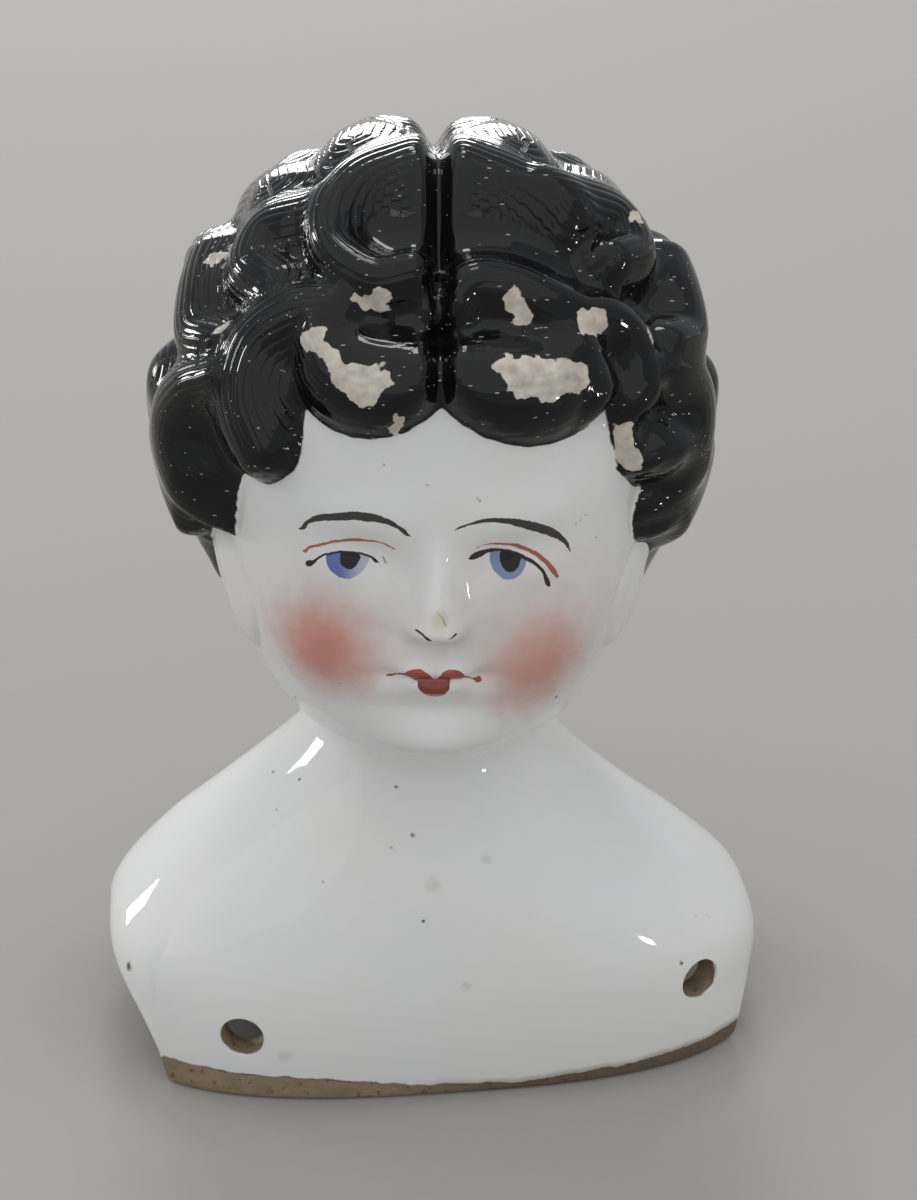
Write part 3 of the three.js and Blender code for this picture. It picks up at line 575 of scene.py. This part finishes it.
shell_places = leaned(np.vstack([ring[0] for ring in rings]))
shell_finish = {name: np.concatenate([ring[1][name] for ring in rings]) for name in rings[0][1]}
ring_sizes = [size for ring in rings for size in ring[2]]
ring_starts = np.concatenate([[0], np.cumsum(ring_sizes)]).tolist()
outer_crown, inner_crown = len(shell_places) - 2, len(shell_places) - 1
shell_faces = [(outer_crown, j, (j + 1) % COLUMNS) for j in range(COLUMNS)]
for many, few, a, b in zip(ring_sizes, ring_sizes[1:], ring_starts, ring_starts[1:]):
    for j in range(few):
        following = (j + 1) % few
        if many == few:
            shell_faces.append((a + j, b + j, b + following, a + following))
        else:
            middle = a + 2 * j + 1
            shell_faces.append((middle - 1, b + j, middle))
            shell_faces.append((middle, b + j, b + following))
            shell_faces.append((middle, b + following, a + (2 * j + 2) % many))
last = ring_starts[len(ring_sizes) - 1]
shell_faces += [(last + j, inner_crown, last + (j + 1) % ring_sizes[-1]) for j in range(ring_sizes[-1])]

shell = bpy.data.meshes.new("shoulder_head_porcelain")
shell.from_pydata((shell_places * MILLIMETRE).tolist(), [], shell_faces)
doll_head = bpy.data.objects.new("shoulder_head_porcelain", shell)
bpy.context.scene.collection.objects.link(doll_head)
for name, values in shell_finish.items():
    shell.attributes.new(name, "FLOAT", "POINT").data.foreach_set("value", values.astype(np.float32))

# The sew holes: four of about 6 mm, pierced square to the wall while the clay was soft, so that their
# mouths are a little rounded. The glaze runs over each mouth and stops just inside it.
HOLES = [(-30.4, 11.6, True), (37.5, 15.8, True), (-33, 13, False), (33, 13, False)]
HOLE_SIDES = 48
WALL_SAMPLES, TANGENT_SAMPLES = 4001, 40
BORE, BORE_REACH, BORE_DEPTH, BORE_TOLERANCE = 3.1, 9, 10, 0.02
MOUTH = [(-BORE_DEPTH, BORE), (-0.7, BORE), (-0.45, 3.14), (-0.2, 3.24), (0, 3.42), (0.2, 3.7),
         (0.5, 4.3), (BORE_REACH, 4.3)]
GLAZE_IN_MOUTH = 0.5
SHARP_FROM = radians(50)

awls = []
for hole_x, hole_z, in_front in HOLES:
    quarter = np.linspace(0, pi / 2, WALL_SAMPLES)
    heights = np.full(WALL_SAMPLES, float(hole_z))
    wall = plate_form(quarter if in_front else pi - quarter, heights, 0)
    k = int(np.searchsorted(wall[:, 0], abs(hole_x)))
    tangent = wall[k + TANGENT_SAMPLES] - wall[k - TANGENT_SAMPLES]
    outward = np.array([-tangent[1], tangent[0], 0]) / np.linalg.norm(tangent)
    outward *= np.sign(outward @ wall[k])
    side = np.sign(hole_x)
    middle = leaned((wall[k] * [side, 1, 1])[None])[0]
    awls.append((middle, outward * [side, 1, 1]))

awl_places, awl_faces = [], []
for middle, outward in awls:
    start = len(awl_places)
    sideways = np.array([-outward[1], outward[0], 0])
    for out, radius in MOUTH:
        for step in range(HOLE_SIDES):
            turn = 2 * pi * step / HOLE_SIDES
            ring_offset = (sideways * cos(turn) + np.array([0, 0, 1]) * sin(turn)) * radius
            awl_places.append((middle + outward * out + ring_offset) * MILLIMETRE)
    for k in range(len(MOUTH) - 1):
        for step in range(HOLE_SIDES):
            a, b = start + k * HOLE_SIDES + step, start + k * HOLE_SIDES + (step + 1) % HOLE_SIDES
            awl_faces.append((a, b, b + HOLE_SIDES, a + HOLE_SIDES))
    awl_faces.append(tuple(range(start + HOLE_SIDES - 1, start - 1, -1)))
    awl_faces.append(tuple(range(start + (len(MOUTH) - 1) * HOLE_SIDES, start + len(MOUTH) * HOLE_SIDES)))
awl_mesh = bpy.data.meshes.new("awl")
awl_mesh.from_pydata([place.tolist() for place in awl_places], [], awl_faces)
awl = bpy.data.objects.new("awl", awl_mesh)
bpy.context.scene.collection.objects.link(awl)

piercing = doll_head.modifiers.new("piercing", "BOOLEAN")
piercing.operation = "DIFFERENCE"
piercing.object = awl
piercing.solver = "MANIFOLD"
evaluated = doll_head.evaluated_get(bpy.context.evaluated_depsgraph_get())
pierced = bpy.data.meshes.new_from_object(evaluated)
doll_head.modifiers.clear()
doll_head.data = pierced
bpy.data.objects.remove(awl)

places = np.empty(len(pierced.vertices) * 3)
pierced.vertices.foreach_get("co", places)
places = places.reshape(-1, 3) / MILLIMETRE
finish = {}
for name in shell_finish:
    finish[name] = np.empty(len(places))
    pierced.attributes[name].data.foreach_get("value", finish[name])
for middle, outward in awls:
    out = (places - middle) @ outward
    away = np.linalg.norm(places - middle - out[:, None] * outward, axis=-1)
    bore = np.interp(out, *np.transpose(MOUTH))
    on_bore = (np.abs(out) < BORE_REACH) & (away < bore + BORE_TOLERANCE)
    for name, values in unpainted(on_bore.sum(), out[on_bore] + GLAZE_IN_MOUTH).items():
        finish[name][on_bore] = values
for name, values in finish.items():
    pierced.attributes[name].data.foreach_set("value", values.astype(np.float32))
pierced.shade_smooth()
pierced.set_sharp_from_angle(angle=SHARP_FROM)

# The finish: hard porcelain under a clear feldspar glaze, with overglaze "china" paints fired on top.
# The glaze is glass, so it shows sharp small reflections over a cool grey white, and its thickness
# rolls a little. Where it stops, the bare clay has gone brown with use. IOR 1.52, roughness 0.05.
china = bpy.data.materials.new("glazed_porcelain_with_china_paint")
china.use_nodes = True
china.node_tree.nodes.clear()


def add(kind, links=None, **settings):
    """Adds a node to the china finish, sets it up and links or sets its inputs."""
    node = china.node_tree.nodes.new("ShaderNode" + kind)
    for name, value in settings.items():
        setattr(node, name, value)
    for name, value in (links or {}).items():
        if isinstance(value, bpy.types.Node):
            value = next(output for output in value.outputs if output.enabled)
        if isinstance(value, bpy.types.NodeSocket):
            china.node_tree.links.new(value, node.inputs[name])
        else:
            node.inputs[name].default_value = value
    return node


def linear(hex_colour):
    """The linear colour of an sRGB hex value."""
    shares = [int(hex_colour[k:k + 2], 16) / 255 for k in (0, 2, 4)]
    return [*(c / 12.92 if c <= 0.04045 else ((c + 0.055) / 1.055) ** 2.4 for c in shares), 1]


known = {name: add("Attribute", attribute_name=name) for name in shell_finish}
place = add("TexCoord").outputs["Object"]


def times(first, second):
    return add("Math", {0: first, 1: second}, operation="MULTIPLY")


def mixed(share, below, above):
    """The colour below where the share is 0, and the colour above where it is 1."""
    return add("Mix", {0: share, 6: below, 7: above}, data_type="RGBA")


def noise(size_mm, detail):
    """Soft cloudy noise, in lumps of a size in millimetres."""
    return add("TexNoise", {"Vector": place, "Scale": 1000 / size_mm, "Detail": detail})


def waver(amount_mm, size_mm, detail=2):
    """An unevenness of so many millimetres either way, in lumps of a size in millimetres."""
    lumps = noise(size_mm, detail)
    return add("MapRange", {0: lumps, 1: 0.2, 2: 0.8, 3: -amount_mm, 4: amount_mm})


def edge_of(distance, waver_mm, size_mm, softness_mm):
    """A painted area from the distance inside its edge, with an uneven and slightly soft edge."""
    uneven = add("Math", {0: distance, 1: waver(waver_mm, size_mm)}, operation="ADD")
    return add("MapRange", {0: uneven, 1: -softness_mm, 2: softness_mm}, interpolation_type="SMOOTHSTEP")


# The painter's strokes on the face lie between an upper and a lower edge, as (x, upper z, lower z) on
# the bald head, and the brush leaves each edge a little uneven.
BROW_RIGHT = [(-17.7, 95.7, 95.7), (-16.1, 97.8, 97.1), (-14.8, 98.8, 97.8), (-12.2, 99.6, 98.5),
              (-9.8, 100.1, 98.9), (-7.3, 99.8, 98.8), (-5.3, 98.9, 98.2), (-3.4, 97, 97)]
BROW_LEFT = [(2, 98, 98), (4, 99, 98.7), (6.5, 99.6, 99), (9, 99.4, 98.5), (11.5, 98.7, 97.3),
             (14.3, 97.2, 95.8), (15.7, 95.9, 94.8), (16.8, 94.2, 93.3), (17.2, 92.8, 92.8)]
CREASE_RIGHT = [(-17.2, 92.8, 92.8), (-16.9, 93.1, 92.6), (-16.4, 93.7, 93.2), (-15, 94.4, 94),
                (-12.5, 95.4, 95), (-10, 95.9, 95.4), (-7.9, 95.8, 95.5), (-6.4, 95.3, 95),
                (-5.4, 94.6, 94.6)]
CREASE_LEFT = [(4.8, 94.9, 94.9), (5.9, 95.5, 95.4), (7.5, 95.6, 95.3), (9.5, 95.3, 94.9),
               (10.8, 94.9, 94.2), (12.2, 94.1, 93.5), (13.5, 93.1, 92.3), (14.4, 92.1, 91),
               (15.1, 91, 89.9), (15.5, 90.1, 89.6), (15.7, 89.8, 89.8)]
LID_RIGHT = [(-16.8, 91.2, 91.2), (-16.5, 91.6, 90.8), (-15.8, 91.9, 91.2), (-15, 92.7, 92.3),
             (-13.7, 93.4, 93.1), (-11.8, 93.8, 93.5), (-10.1, 93.7, 93.4), (-8.9, 93.4, 93.1),
             (-8, 92.8, 92.4), (-7.6, 92.4, 92.4)]
LID_LEFT = [(4, 93.5, 93.5), (4.5, 94.1, 93.3), (5.6, 94.6, 93.5), (6.9, 94.7, 94.1), (8.7, 94.4, 94),
            (10.3, 93.9, 93.4), (11.5, 93.3, 92.7), (12.7, 92.4, 91.8), (13.4, 91.5, 90.7),
            (14, 90.4, 88.9), (14.4, 89.3, 88.6), (14.5, 88.8, 88.8)]
IRIS_RIGHT = [(-14.2, 92.6, 92.6), (-14.1, 93, 92.2), (-13.8, 93.3, 91.4), (-13.1, 93.5, 90.7),
              (-11.6, 93.7, 90.2), (-10.2, 93.7, 90.8), (-9.4, 93.5, 91.7), (-9, 93.3, 92.7),
              (-8.9, 93, 93)]
IRIS_LEFT = [(6.9, 93.4, 93.4), (7, 94.2, 92.6), (7.3, 94.3, 91.8), (8, 94.3, 90.9), (9.2, 94.1, 90.3),
             (10.5, 93.8, 90.8), (11.2, 93.3, 91.7), (11.6, 93, 92.6), (11.7, 92.8, 92.8)]
PUPIL_RIGHT = [(-12.5, 93, 93), (-12.4, 93.5, 92.4), (-12, 93.6, 91.8), (-11.2, 93.7, 91.5),
               (-10.5, 93.6, 91.9), (-10.1, 93.3, 92.7), (-10, 93, 93)]
PUPIL_LEFT = [(8.2, 93.4, 93.4), (8.3, 94, 92.6), (8.7, 94.2, 91.8), (9.5, 94.1, 91.3),
              (10.5, 93.6, 91.9), (10.9, 93.2, 92.8), (11, 93, 93)]
NOSTRIL_RIGHT = [(-2.6, 85.6, 85.6), (-2.3, 85.75, 85.5), (-1.7, 85.6, 85.3), (-1, 85.3, 84.9),
                 (-0.6, 85, 85)]
NOSTRIL_LEFT = [(1.2, 85, 85), (1.6, 85.2, 85), (2.1, 85.4, 85.15), (2.3, 85.3, 85.3)]
UPPER_LIP = [(-6.4, 77, 77), (-6.2, 77.1, 76.8), (-5.5, 77.3, 77), (-4.6, 77.9, 77.5),
             (-3.9, 78.2, 77.7), (-3.3, 78.7, 77.5), (-2.3, 78.95, 77), (-1.5, 78.7, 76.9),
             (-0.6, 78, 76.8), (-0.1, 77.2, 76.8), (0.6, 78.1, 76.8), (1.2, 78.8, 77),
             (2.1, 78.9, 77.2), (3, 78.6, 77.2), (3.6, 77.8, 77.3), (4.1, 77.4, 77.1),
             (4.6, 77.1, 76.9), (5, 77, 76.6), (5.5, 77, 76.2), (6, 76.4, 76.4)]
LOWER_LIP = [(-2.3, 76.8, 76.8), (-2.2, 77, 76.1), (-1.8, 77, 75.6), (-1, 77, 74.9), (-0.2, 77, 74.5),
             (0.9, 77, 74.9), (1.4, 77.2, 75.7), (1.7, 77.3, 76.1), (1.8, 77, 77)]
NOSE_SCRATCH = [(-0.2, 88.3, 88.3), (0, 88.2, 88.1), (0.5, 87.7, 87.5), (0.9, 87, 86.7), (1.1, 86.6, 86.6)]
EYE_SCRATCH = [(-7.3, 93.3, 93.3), (-7.1, 93.4, 92.8), (-6.8, 93, 92.4), (-6.6, 92.6, 92.6)]
STROKE_SOFTNESS = 0.07

face_x = add("Math", {0: known["face_x"], 1: waver(0.10, 1.4)}, operation="ADD")
face_z = add("Math", {0: known["face_z"], 1: waver(0.12, 1.1, 4)}, operation="ADD")


def stroke(edges):
    """The area that a stroke covers, between its two edges."""
    (x1, z1, _), (x2, z2, _) = edges[0], edges[-1]
    edges = [(x1 - 0.2, z1 - 0.4, z1 + 0.4), *edges, (x2 + 0.2, z2 - 0.4, z2 + 0.4)]
    low, high = min(row[2] for row in edges) - 0.5, max(row[1] for row in edges) + 0.5
    start, end = edges[0][0], edges[-1][0]
    across = add("MapRange", {0: face_x, 1: start, 2: end})
    up = add("MapRange", {0: face_z, 1: low, 2: high}, clamp=False)
    bounds = []
    for item in (1, 2):
        edge = add("FloatCurve", {1: across})
        points = edge.mapping.curves[0].points
        while len(points) < len(edges):
            points.new(0.5, 0.5)
        for point, row in zip(points, edges):
            point.location = ((row[0] - start) / (end - start), (row[item] - low) / (high - low))
            point.handle_type = "AUTO_CLAMPED"
        edge.mapping.update()
        bounds.append(edge)
    under = add("Math", {0: bounds[0], 1: up}, operation="SUBTRACT")
    over = add("Math", {0: up, 1: bounds[1]}, operation="SUBTRACT")
    inside = add("Math", {0: under, 1: over}, operation="MINIMUM")
    soft = STROKE_SOFTNESS / (high - low)
    return add("MapRange", {0: inside, 1: -soft, 2: soft}, interpolation_type="SMOOTHSTEP")


def sponged(x, z, half_x, half_z):
    """A soft round patch of colour, dabbed on with a pad."""
    aside = add("MapRange", {0: face_x, 1: x - half_x, 2: x + half_x, 3: -1, 4: 1}, clamp=False)
    up = add("MapRange", {0: face_z, 1: z - half_z, 2: z + half_z, 3: -1, 4: 1}, clamp=False)
    from_middle = add("CombineXYZ", {0: aside, 1: up})
    away = add("VectorMath", {0: from_middle}, operation="LENGTH").outputs["Value"]
    dabs = add("Math", {0: away, 1: waver(0.16, 3.5, 4)}, operation="ADD")
    return add("MapRange", {0: dabs, 1: 1.25, 2: 0.1}, interpolation_type="SMOOTHSTEP")


GLAZE_COOL, GLAZE_WARM = linear("e3e6e8"), linear("e8e6e1")
cloud = noise(22, 3)
glaze_colour = mixed(cloud, GLAZE_COOL, GLAZE_WARM)
blue_share = add("MapRange", {0: face_x, 1: -9.4, 2: -12.6}, interpolation_type="SMOOTHSTEP")
iris_right_colour = mixed(blue_share, linear("b4b8c4"), linear("6472b0"))
lip_cloud = noise(1.6, 3)
lip_colour = mixed(lip_cloud, linear("8a3a30"), linear("a85a48"))
lower_lip_colour = mixed(lip_cloud, linear("74281f"), linear("904034"))
blush = {"RIGHT": sponged(-14, 79.9, 8.2, 8.8), "LEFT": sponged(13.2, 77.0, 7.6, 9)}
tint = {"RIGHT": sponged(-13, 82, 15, 12), "LEFT": sponged(12, 82, 14, 13)}
layers = [
    (times(tint["RIGHT"], 0.3), linear("cbb2a4")),
    (times(tint["LEFT"], 0.5), linear("c6a99c")),
    (times(blush["RIGHT"], 0.95), linear("ca8577")),
    (times(blush["LEFT"], 0.8), linear("ca8577")),
    (stroke(CREASE_RIGHT), linear("b06a55")),
    (stroke(CREASE_LEFT), linear("a85e4a")),
    (stroke(IRIS_RIGHT), iris_right_colour),
    (stroke(IRIS_LEFT), linear("8290b2")),
    (stroke(PUPIL_RIGHT), linear("1c1b1d")),
    (stroke(PUPIL_LEFT), linear("1c1b1d")),
    (stroke(LID_RIGHT), linear("2a2524")),
    (stroke(LID_LEFT), linear("2a2524")),
    (stroke(BROW_RIGHT), linear("3a3937")),
    (stroke(BROW_LEFT), linear("3a3937")),
    (stroke(NOSTRIL_RIGHT), linear("2e2020")),
    (stroke(NOSTRIL_LEFT), linear("3c2c2a")),
    (stroke(UPPER_LIP), lip_colour),
    (stroke(LOWER_LIP), lower_lip_colour),
    (times(sponged(0.2, 87.4, 1.3, 1.5), 0.55), linear("bab594")),
    (times(stroke(NOSE_SCRATCH), 0.7), linear("8a7c58")),
    (times(stroke(EYE_SCRATCH), 0.6), linear("8a7868")),
]
for where, colour in layers:
    glaze_colour = mixed(where, glaze_colour, colour)

# The hair is painted black up to its moulded edge, and has lost flakes of paint since.
hair_area = edge_of(known["hair"], 0.12, 2.5, 0.10)
flake_area = edge_of(known["flaked"], 1.1, 2.2, 0.12)
flake_cloud = noise(1.5, 5)
flake_colour = mixed(flake_cloud, linear("8a8078"), linear("efe6d8"))
painted_hair = add("Math", {0: hair_area, 1: flake_area}, operation="SUBTRACT", use_clamp=True)
flaked_hair = times(hair_area, flake_area)
glaze_colour = mixed(flaked_hair, glaze_colour, flake_colour)
glaze_colour = mixed(painted_hair, glaze_colour, linear("0c0c0e"))

# Lint and fine scratches on the hair, as pale dashes under 1 mm long that lie three ways, and small
# brown specks fired into the white glaze.
DASH_SPACING, SPECK_SPACING = (3.4, 0.9, 0.9), 7
strewn = None
for turns in ((0.3, 0.2, 0.4), (1.1, 0.3, 1.7), (0.5, 1.2, 2.6)):
    scale = [1000 / spacing for spacing in DASH_SPACING]
    lain = add("Mapping", {"Vector": place, "Rotation": turns, "Scale": scale})
    fibres = add("TexVoronoi", {"Vector": lain, "Scale": 1.0})
    thin = add("MapRange", {0: fibres, 1: 0.13, 2: 0.06}, interpolation_type="SMOOTHSTEP")
    few = add("MapRange", {0: fibres.outputs["Color"], 1: 0.62, 2: 0.66})
    dash = times(thin, few)
    strewn = dash if strewn is None else add("Math", {0: strewn, 1: dash}, operation="MAXIMUM")
lint = times(strewn, painted_hair)
glaze_colour = mixed(lint, glaze_colour, linear("a9a8a4"))
dots = add("TexVoronoi", {"Vector": place, "Scale": 1000 / SPECK_SPACING})
small = add("MapRange", {0: dots, 1: 0.055, 2: 0.03}, interpolation_type="SMOOTHSTEP")
rare = add("MapRange", {0: dots.outputs["Color"], 1: 0.64, 2: 0.68, 4: 0.8})
white = add("Math", {0: 1.0, 1: hair_area}, operation="SUBTRACT")
speck = times(times(small, rare), white)
glaze_colour = mixed(speck, glaze_colour, linear("5a5148"))

# Marks on the white that use and the kiln have left, as (x, y, z, radius) in millimetres.
CHIPS = [(-45.8, -11.9, 17.8, 0.75), (34, -21.4, 19.3, 0.4), (-7.6, -16.9, 49.4, 0.3),
         (-5.5, -19.8, 43.1, 0.33), (-4.3, -23.5, 31, 0.3)]
SPECKS = [(-8.5, -19.8, 41.2, 0.28), (-18.1, -19, 35.6, 0.25), (0.6, -34.1, 101.9, 0.22),
          (0.3, -34, 102.2, 0.2), (13.5, -31.2, 96.6, 0.2), (14.2, -30.9, 97, 0.18),
          (14.9, -30.5, 97.5, 0.2), (16.7, -29, 93.5, 0.22), (-11.3, -31.9, 106.4, 0.2),
          (-6, -33.3, 104, 0.2), (-16.8, -31.3, 75, 0.2)]
SCRATCH = [(36.4, -17, 23.9, 0.18), (36.9, -16.7, 24.2, 0.18), (37.5, -16.3, 24.2, 0.18),
           (38.2, -15.9, 23.9, 0.18), (38.8, -15.6, 23.5, 0.18), (39.3, -15.4, 23, 0.18)]
SMUDGES = [(-24.2, -23.6, 8.8, 1.3), (-2.8, -22.2, 36.3, 1.1), (4.9, -21.2, 39.3, 0.8),
           (1.8, -25.3, 20.6, 0.8)]
place_mm = add("VectorMath", {0: place, "Scale": 1000}, operation="SCALE")
for marks, fade, colour in ((CHIPS, 0.9, "3d342c"), (SPECKS, 0.5, "5c534a"), (SCRATCH, 0.5, "6d665e"),
                            (SMUDGES, 0.22, "8d8980")):
    for x, y, z, radius in marks:
        away = add("VectorMath", {0: place_mm, 1: (x, y, z)}, operation="DISTANCE").outputs["Value"]
        uneven = add("Math", {0: away, 1: waver(0.5 * radius, radius)}, operation="ADD")
        near = add("MapRange", {0: uneven, 1: 1.2 * radius, 2: 0.3 * radius, 4: fade})
        glaze_colour = mixed(near, glaze_colour, linear(colour))

# Bare clay: dull grey brown inside, painted darker than the clay as shade in the hollow, and brown with
# dirt in the sew holes and along the rim, where it is pitted and grows darker to the left. A thin dark
# line of scum lies where the glaze stops, and to the left, low down, the glaze just above it is browned.
SCUM_REACH, BROWNING_REACH = 0.3, 1.4
clay_cloud = noise(3, 6)
rim_colour = mixed(clay_cloud, linear("6e5e4b"), linear("a8957b"))
spot = add("SeparateXYZ", {0: place_mm}).outputs
to_left = add("MapRange", {0: spot["X"], 1: -12, 2: 12, 4: 0.75}, interpolation_type="SMOOTHSTEP")
near_floor = add("MapRange", {0: spot["Z"], 1: 8, 2: 5})
to_left = times(to_left, near_floor)
rim_colour = mixed(to_left, rim_colour, linear("54473c"))
pits = noise(1.1, 3)
pitted = add("MapRange", {0: pits, 1: 0.58, 2: 0.7, 4: 0.75})
rim_colour = mixed(pitted, rim_colour, linear("4a3d30"))
# Deep in the hollow the dull grey brown clay is painted darker still, as painted shade inside the shell.
far_inside_painted_shade = add("MapRange", {0: known["glazed"], 1: -5.2, 2: -8})
inside_clay_and_painted_shade = mixed(clay_cloud, linear("574d40"), linear("7a6e5e"))
clay_colour = mixed(far_inside_painted_shade, rim_colour, inside_clay_and_painted_shade)
above_stop = add("Math", {0: known["glazed"], 1: waver(0.55, 4.5, 3)}, operation="ADD")
glazed_area = add("MapRange", {0: above_stop, 1: -0.12, 2: 0.12}, interpolation_type="SMOOTHSTEP")
surface_colour = mixed(glazed_area, clay_colour, glaze_colour)
from_stop = add("Math", {0: above_stop}, operation="ABSOLUTE")
scum = add("MapRange", {0: from_stop, 1: SCUM_REACH, 2: 0.06, 4: 0.8}, interpolation_type="SMOOTHSTEP")
scum = times(scum, add("MapRange", {0: clay_cloud, 1: 0.4, 2: 0.6}))
surface_colour = mixed(scum, surface_colour, linear("4c3a2b"))
# Towards the head's left and low down near the floor, the glaze just above its stop turns brown.
browned_glaze = add("MapRange", {0: above_stop, 1: BROWNING_REACH, 2: 0.1, 4: 0.7}, interpolation_type="SMOOTHSTEP")
browned_glaze = times(times(browned_glaze, to_left), glazed_area)
surface_colour = mixed(browned_glaze, surface_colour, linear("8a7763"))

# Relief too fine for the mesh, in millimetres: the comb lines of the hair, the slow roll of the glaze
# and the grain of the bare clay.
COMB_SPACING, COMB_DEPTH = 1.15, 0.1
ROLL_SIZE, ROLL_DEPTH = 9, 0.4
GRAIN_SIZE, GRAIN_DEPTH = 0.7, 0.12
teeth = times(known["combed"], 2 * pi / COMB_SPACING)
wave = add("Math", {0: teeth}, operation="SINE")
furrow = add("MapRange", {0: wave, 1: -1, 2: 0.5}, interpolation_type="SMOOTHSTEP")
furrow = times(times(furrow, known["combed_surely"]), hair_area)
bare = add("Math", {0: 1.0, 1: glazed_area}, operation="SUBTRACT")
surface = None
for height, depth, strength in (
    (furrow, COMB_DEPTH, 1.0),
    (noise(ROLL_SIZE, 2), ROLL_DEPTH, 0.25),
    (times(noise(GRAIN_SIZE, 4), bare), GRAIN_DEPTH, 0.6),
):
    under = {"Normal": surface} if surface else {}
    relief = {"Height": height, "Distance": depth * MILLIMETRE, "Strength": strength}
    surface = add("Bump", relief | under)

CLAY_ROUGHNESS, GLAZE_ROUGHNESS, GLAZE_IOR = 0.62, 0.05, 1.52
GLAZE_SHINE, BLACK_SHINE = 0.5, 0.32
roughness = add("MapRange", {0: glazed_area, 3: CLAY_ROUGHNESS, 4: GLAZE_ROUGHNESS})
shine = add("MapRange", {0: painted_hair, 3: GLAZE_SHINE, 4: BLACK_SHINE})
china_shader = add("BsdfPrincipled", {
    "Base Color": surface_colour,
    "Roughness": roughness,
    "IOR": GLAZE_IOR,
    "Specular IOR Level": shine,
    "Normal": surface,
})
add("OutputMaterial", {"Surface": china_shader})
pierced.materials.clear()
pierced.materials.append(china)

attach(doll_head, "root")
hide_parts("shoulder_head")

# A plain pale floor and plain soft light: a window low to the head's right and a small lamp to its
# left, a ceiling light and a wide window behind it, and a broad soft fill from above.
floor_mesh = bpy.data.meshes.new("floor")
FLOOR_HALF = 3.0
floor_mesh.from_pydata(
    [(-FLOOR_HALF, -FLOOR_HALF, 0), (FLOOR_HALF, -FLOOR_HALF, 0), (FLOOR_HALF, FLOOR_HALF, 0),
     (-FLOOR_HALF, FLOOR_HALF, 0)],
    [], [(0, 1, 2, 3)],
)
floor = bpy.data.objects.new("floor", floor_mesh)
bpy.context.scene.collection.objects.link(floor)
floor_paint = bpy.data.materials.new("pale_floor")
floor_paint.use_nodes = True
floor_shader = floor_paint.node_tree.nodes["Principled BSDF"]
floor_shader.inputs["Base Color"].default_value = linear("a9a7a3")
floor_shader.inputs["Roughness"].default_value = 0.9
floor_mesh.materials.append(floor_paint)

LAMPS_AIM = Vector((0, 0, 0.09))


def place_lamp(name, bearing, elevation, distance, size, power):
    """A soft rectangular light, looking at the head from a bearing and elevation in degrees."""
    lamp = bpy.data.objects.new(name, bpy.data.lights.new(name, "AREA"))
    bpy.context.scene.collection.objects.link(lamp)
    lamp.data.shape = "RECTANGLE"
    lamp.data.size, lamp.data.size_y = size
    lamp.data.energy = power
    direction = Vector(looking(bearing, elevation))
    lamp.location = LAMPS_AIM + direction * distance
    lamp.rotation_euler = direction.to_track_quat("Z", "Y").to_euler()


place_lamp("window", -125.5, 5, 1.5, (0.25, 0.30), 4.0)
place_lamp("lamp", 49, 0, 0.90, (0.04, 0.04), 0.45)
place_lamp("ceiling", 178, 62, 1.2, (0.24, 0.30), 2)
place_lamp("far window", 178, 12, 2, (0.9, 0.8), 15)
place_lamp("fill", -35, 64, 2.6, (7, 6), 60)

world = bpy.data.worlds.new("room")
world.use_nodes = True
world.node_tree.nodes["Background"].inputs["Color"].default_value = linear("b9bbbd")
world.node_tree.nodes["Background"].inputs["Strength"].default_value = 0.98
bpy.context.scene.world = world
bpy.context.scene.view_settings.view_transform = "Standard"
